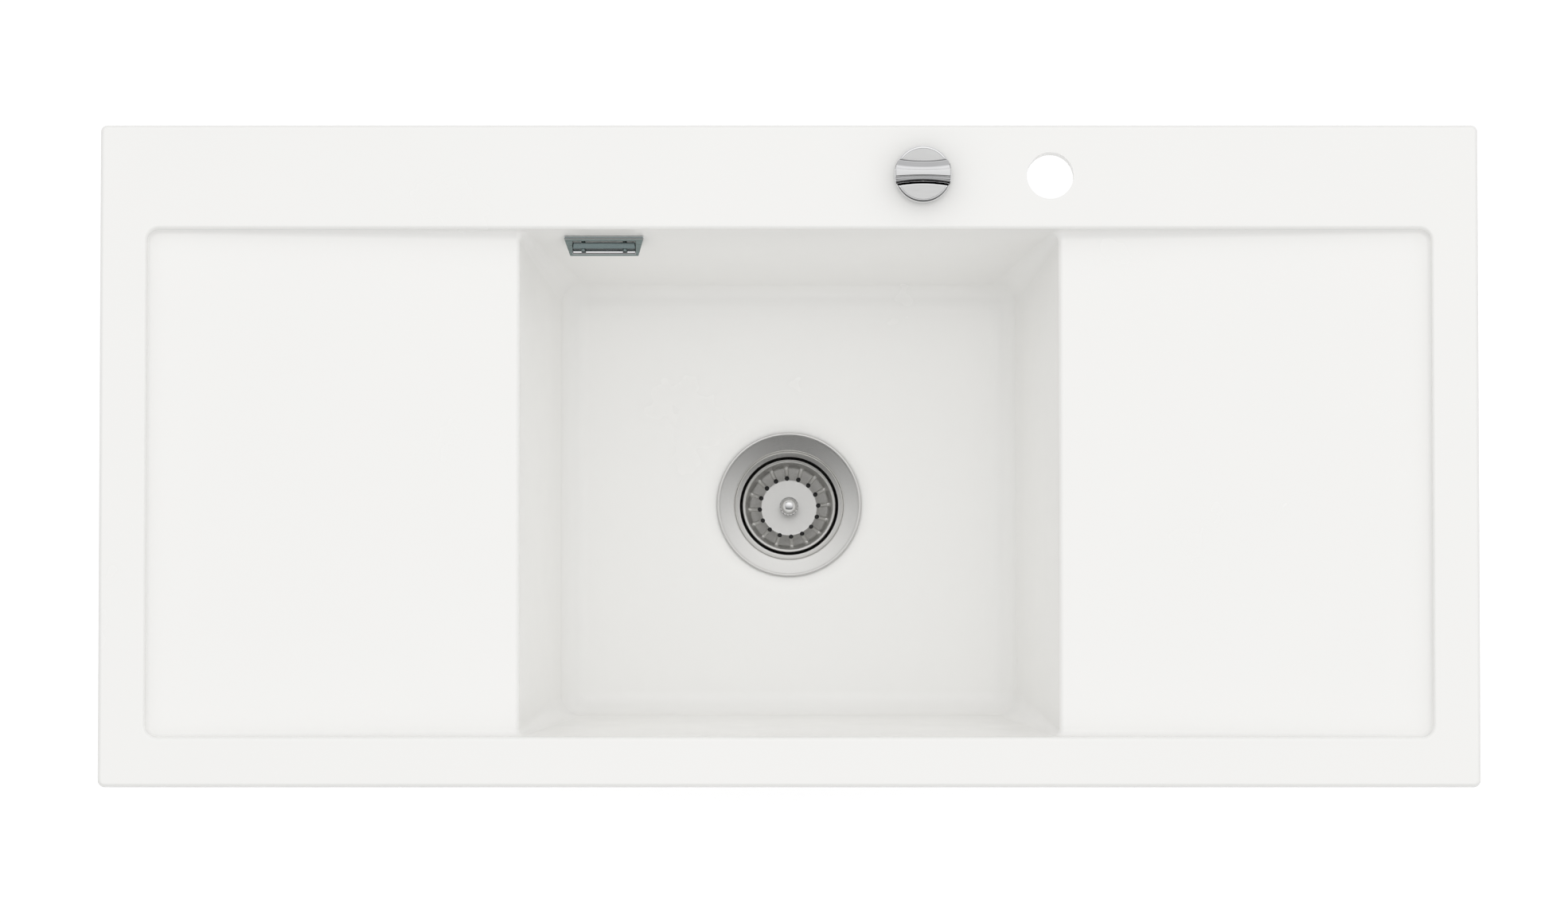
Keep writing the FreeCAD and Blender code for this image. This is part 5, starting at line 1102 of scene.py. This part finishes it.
def crank_case():
    """Open box round the crank, and the lid that closes it."""
    front, back = LEVER_ARM - 14 * MM, LEVER_ARM + 24 * MM
    low, high = LEVER_LEVEL - 9 * MM, LEVER_LEVEL + 19 * MM
    side, outside, wall, end_wall = 49.5 * MM, 61 * MM, 2 * MM, 4 * MM
    turn = Matrix.Translation(flat(DRAIN)) @ Matrix.Rotation(CABLE_TURN, 4, "Z")
    case = by_case("crank_case", (front, back), (low, high), (side, outside))
    pick(case, "EDGE", lambda middle, size: size.y > 5 * MM)
    bevel(2 * MM, 5)
    cut(case, by_case("case_room", (front + end_wall, back - end_wall), (low + wall, high - wall),
                      (side + wall, outside + wall)))
    shaft_hole = bar("shaft_hole", Vector(), SHAFT_BORE, 0, 6 * MM, 32)
    lay(shaft_hole, Vector((LEVER_ARM, -side + wall, LEVER_LEVEL)), Vector((0, -1, 0)))
    cut(case, shaft_hole)
    cable_hole = bar("cable_hole", Vector(), 3.2 * MM, 0, 8 * MM, 32)
    lay(cable_hole, Vector((back - end_wall - wall, -CABLE_SIDE, CABLE_LEVEL)), Vector((1, 0, 0)))
    cut(case, cable_hole)
    smooth(case, 30)
    place(case, turn)
    dress(case, "actuator_case")
    lid = by_case("crank_case_lid", (front, back), (low, high), (outside, outside + wall))
    pick(lid, "EDGE", lambda middle, size: size.y > wall / 2)
    bevel(2 * MM, 5)
    pick(lid, "FACE", lambda middle, size: near(middle.y, -outside - wall) and size.y < TOUCH)
    bpy.ops.mesh.inset(thickness=2.5 * MM, depth=0)
    bpy.ops.mesh.inset(thickness=0.5 * MM, depth=-0.5 * MM)
    round_edges(lid, 0.3 * MM, 2, 30)
    smooth(lid, 30)
    place(lid, turn)
    return dress(lid, "actuator_lid")


def dress_the_rest():
    """Every CAD node that still shows takes its slot's finish; the overflow's screws match their frame."""
    for node, piece in frame["nodes"].items():
        if not piece.hide_render:
            piece.material_slots[0].material = FINISH[SLOT[node]]
    # the screws take the same painted dark reflection colour as the trim
    frame["nodes"]["overflow_screws"].material_slots[0].material = DARK_REFLECTION_STEEL


# ------------------------------------------------------------------ make every piece
dress(glazed_basin(), "sink_basin")
coned_flange()
fluted_basket()
polished_ball()
rotary_knob()
knob_shank()
ring_like("knob_collar", 20.2 * MM, 0.35 * MM, material=CHROME)
ring_like("collar_gasket", 15.8 * MM, 0.2 * MM)
overflow_frame()
overflow_bar()
drain_cup()
threaded_outlet()
ring_like("body_gasket", 46 * MM, 0.5 * MM)
ribbed_hose()
hose_nuts()
overflow_box()
hexagon_nut()
ring_like("deck_washer", 15.8 * MM, 0.3 * MM)
threaded_bushing()
slide_case()
cable_ends()
pull_sheath()
crank_case()
dress_the_rest()


# ------------------------------------------------------------------ stage, light and camera
def floor():
    """Pale floor: the camera and mirrors see it white, with a soft shadow; from below it's clear."""
    deselect_all()
    bpy.ops.mesh.primitive_plane_add(size=12, location=(0, 0, cad_low.z - 2 * MM))
    ground = named("floor")
    material, tree, matt = new_material("floor_white")
    matt.inputs["Base Color"].default_value = (0.78, 0.78, 0.78, 1)
    matt.inputs["Roughness"].default_value = 0.9
    shadowed = add_node(tree, "BsdfDiffuse", {"Color": (0.3, 0.3, 0.3, 1)})
    glow = add_node(tree, "Emission", {"Strength": 0.8})
    seen = add_node(tree, "AddShader", {0: shadowed.outputs["BSDF"], 1: glow.outputs["Emission"]})
    white = mixed(tree, seen_directly(tree), matt.outputs["BSDF"], seen.outputs["Shader"])
    clear = add_node(tree, "BsdfTransparent", {})
    side = add_node(tree, "NewGeometry", {})
    surface = mixed(tree, side.outputs["Backfacing"], white, clear.outputs["BSDF"])
    tree.links.new(surface, tree.nodes["Material Output"].inputs["Surface"])
    ground.data.materials.append(material)


def mixed(tree, share, first, second):
    """The first shader where the share is 0 and the second where it's 1."""
    return add_node(tree, "MixShader", {0: share, 1: first, 2: second}).outputs["Shader"]


def seen_directly(tree):
    """1 for rays of the camera, of reflections and through glass, and 0 for bounced light."""
    ray = add_node(tree, "LightPath", {})
    seen = ray.outputs["Is Camera Ray"]
    for name in ("Is Glossy Ray", "Is Transmission Ray"):
        seen = arithmetic(tree, "MAXIMUM", seen, ray.outputs[name])
    return seen


def ramp_over(tree, value, stops):
    """A curve of greys over a value."""
    ramp = tree.nodes.new("ShaderNodeValToRGB")
    elements = ramp.color_ramp.elements
    for element, (position, grey) in zip(elements, (stops[0], stops[-1])):
        element.position, element.color = position, (grey, grey, grey, 1)
    for position, grey in stops[1:-1]:
        elements.new(position).color = (grey, grey, grey, 1)
    tree.links.new(value, ramp.inputs["Fac"])
    return ramp.outputs["Color"]


def arithmetic(tree, operation, first, second):
    return add_node(tree, "Math", {0: first, 1: second}, operation=operation).outputs["Value"]


def lean(tree, split, right, back):
    """1, raised towards the right and the back."""
    sideways = arithmetic(tree, "MULTIPLY", split.outputs["X"], right)
    backwards = arithmetic(tree, "MULTIPLY", split.outputs["Y"], back)
    return arithmetic(tree, "ADD", arithmetic(tree, "ADD", sideways, backwards), 1.0)


def studio():
    """Even white light; what mirrors see is a pale horizon, a darker front and a bright ceiling."""
    world = bpy.data.worlds.new("studio")
    bpy.context.scene.world = world
    world.use_nodes = True
    tree = world.node_tree
    where = add_node(tree, "TexCoord", {})
    split = add_node(tree, "SeparateXYZ", {"Vector": where.outputs["Generated"]})
    height = split.outputs["Z"]
    light = tree.nodes["Background"]
    even = arithmetic(tree, "MULTIPLY", ramp_over(tree, height, EVEN_LIGHT), lean(tree, split, *EVEN_LEAN))
    tree.links.new(even, light.inputs["Strength"])
    light.inputs["Color"].default_value = (1, 1, 1, 1)
    upper = arithmetic(tree, "MULTIPLY", ramp_over(tree, height, STUDIO_WALLS),
                       lean(tree, split, *MIRROR_LEAN))
    seen = arithmetic(tree, "ADD", ramp_over(tree, height, HORIZON), upper)
    walls = add_node(tree, "Background", {"Strength": seen})
    both = mixed(tree, seen_directly(tree), light.outputs["Background"], walls.outputs["Background"])
    tree.links.new(both, tree.nodes["World Output"].inputs["Surface"])


def lamp(name, place, target, size, power):
    data = bpy.data.lights.new(name, "AREA")
    data.shape = "SQUARE"
    data.size = size
    data.energy = power
    light = bpy.data.objects.new(name, data)
    bpy.context.scene.collection.objects.link(light)
    light.location = place
    light.rotation_euler = (Vector(target) - Vector(place)).to_track_quat("-Z", "Y").to_euler()
    return light


# strengths by height, from the horizon at 0 to straight up at 1, and how they lean to the right and back
EVEN_LEAN = (0.06, 0.1)
MIRROR_LEAN = (0.1, 1.3)
EVEN_LIGHT = [(0.0, 0.28), (0.15, 0.35), (0.28, 0.95), (0.5, 1.0), (0.75, 0.9), (1.0, 0.68)]
HORIZON = [(0.1, 1.0), (0.16, 0.0)]
STUDIO_WALLS = [(0.1, 0.0), (0.18, 0.42), (0.6, 0.46), (0.84, 0.95), (1.0, 1.0)]
floor()
studio()
ceiling = lamp("ceiling", (0.3, 0.4, 4.2), (0, 0, 0), 2.4, 20)
ceiling.visible_glossy = False

# the frame is 1970 by 1160; the sink's middle lies at this pixel, and this many mm make one
PHOTO_WIDTH = 1970
PHOTO_CENTRE = (985, 580)
SINK_CENTRE = (991.5, 571.9)
MM_PER_PIXEL = 0.6113
DISTANCE = 8.0
TILT = math.radians(4.5)
SENSOR = 36

target = Vector(((PHOTO_CENTRE[0] - SINK_CENTRE[0]) * MM_PER_PIXEL * MM,
                 (SINK_CENTRE[1] - PHOTO_CENTRE[1]) * MM_PER_PIXEL * MM, RIM_TOP))
camera_data = bpy.data.cameras.new("camera")
camera = bpy.data.objects.new("camera", camera_data)
bpy.context.scene.collection.objects.link(camera)
camera.location = target + Vector((0, -math.sin(TILT), math.cos(TILT))) * DISTANCE
camera.rotation_euler = (TILT, 0, 0)
camera_data.sensor_width = SENSOR
camera_data.lens = SENSOR * DISTANCE / (PHOTO_WIDTH * MM_PER_PIXEL * MM)
camera_data.clip_end = 100
bpy.context.scene.camera = camera
bpy.context.scene.view_settings.view_transform = "Standard"
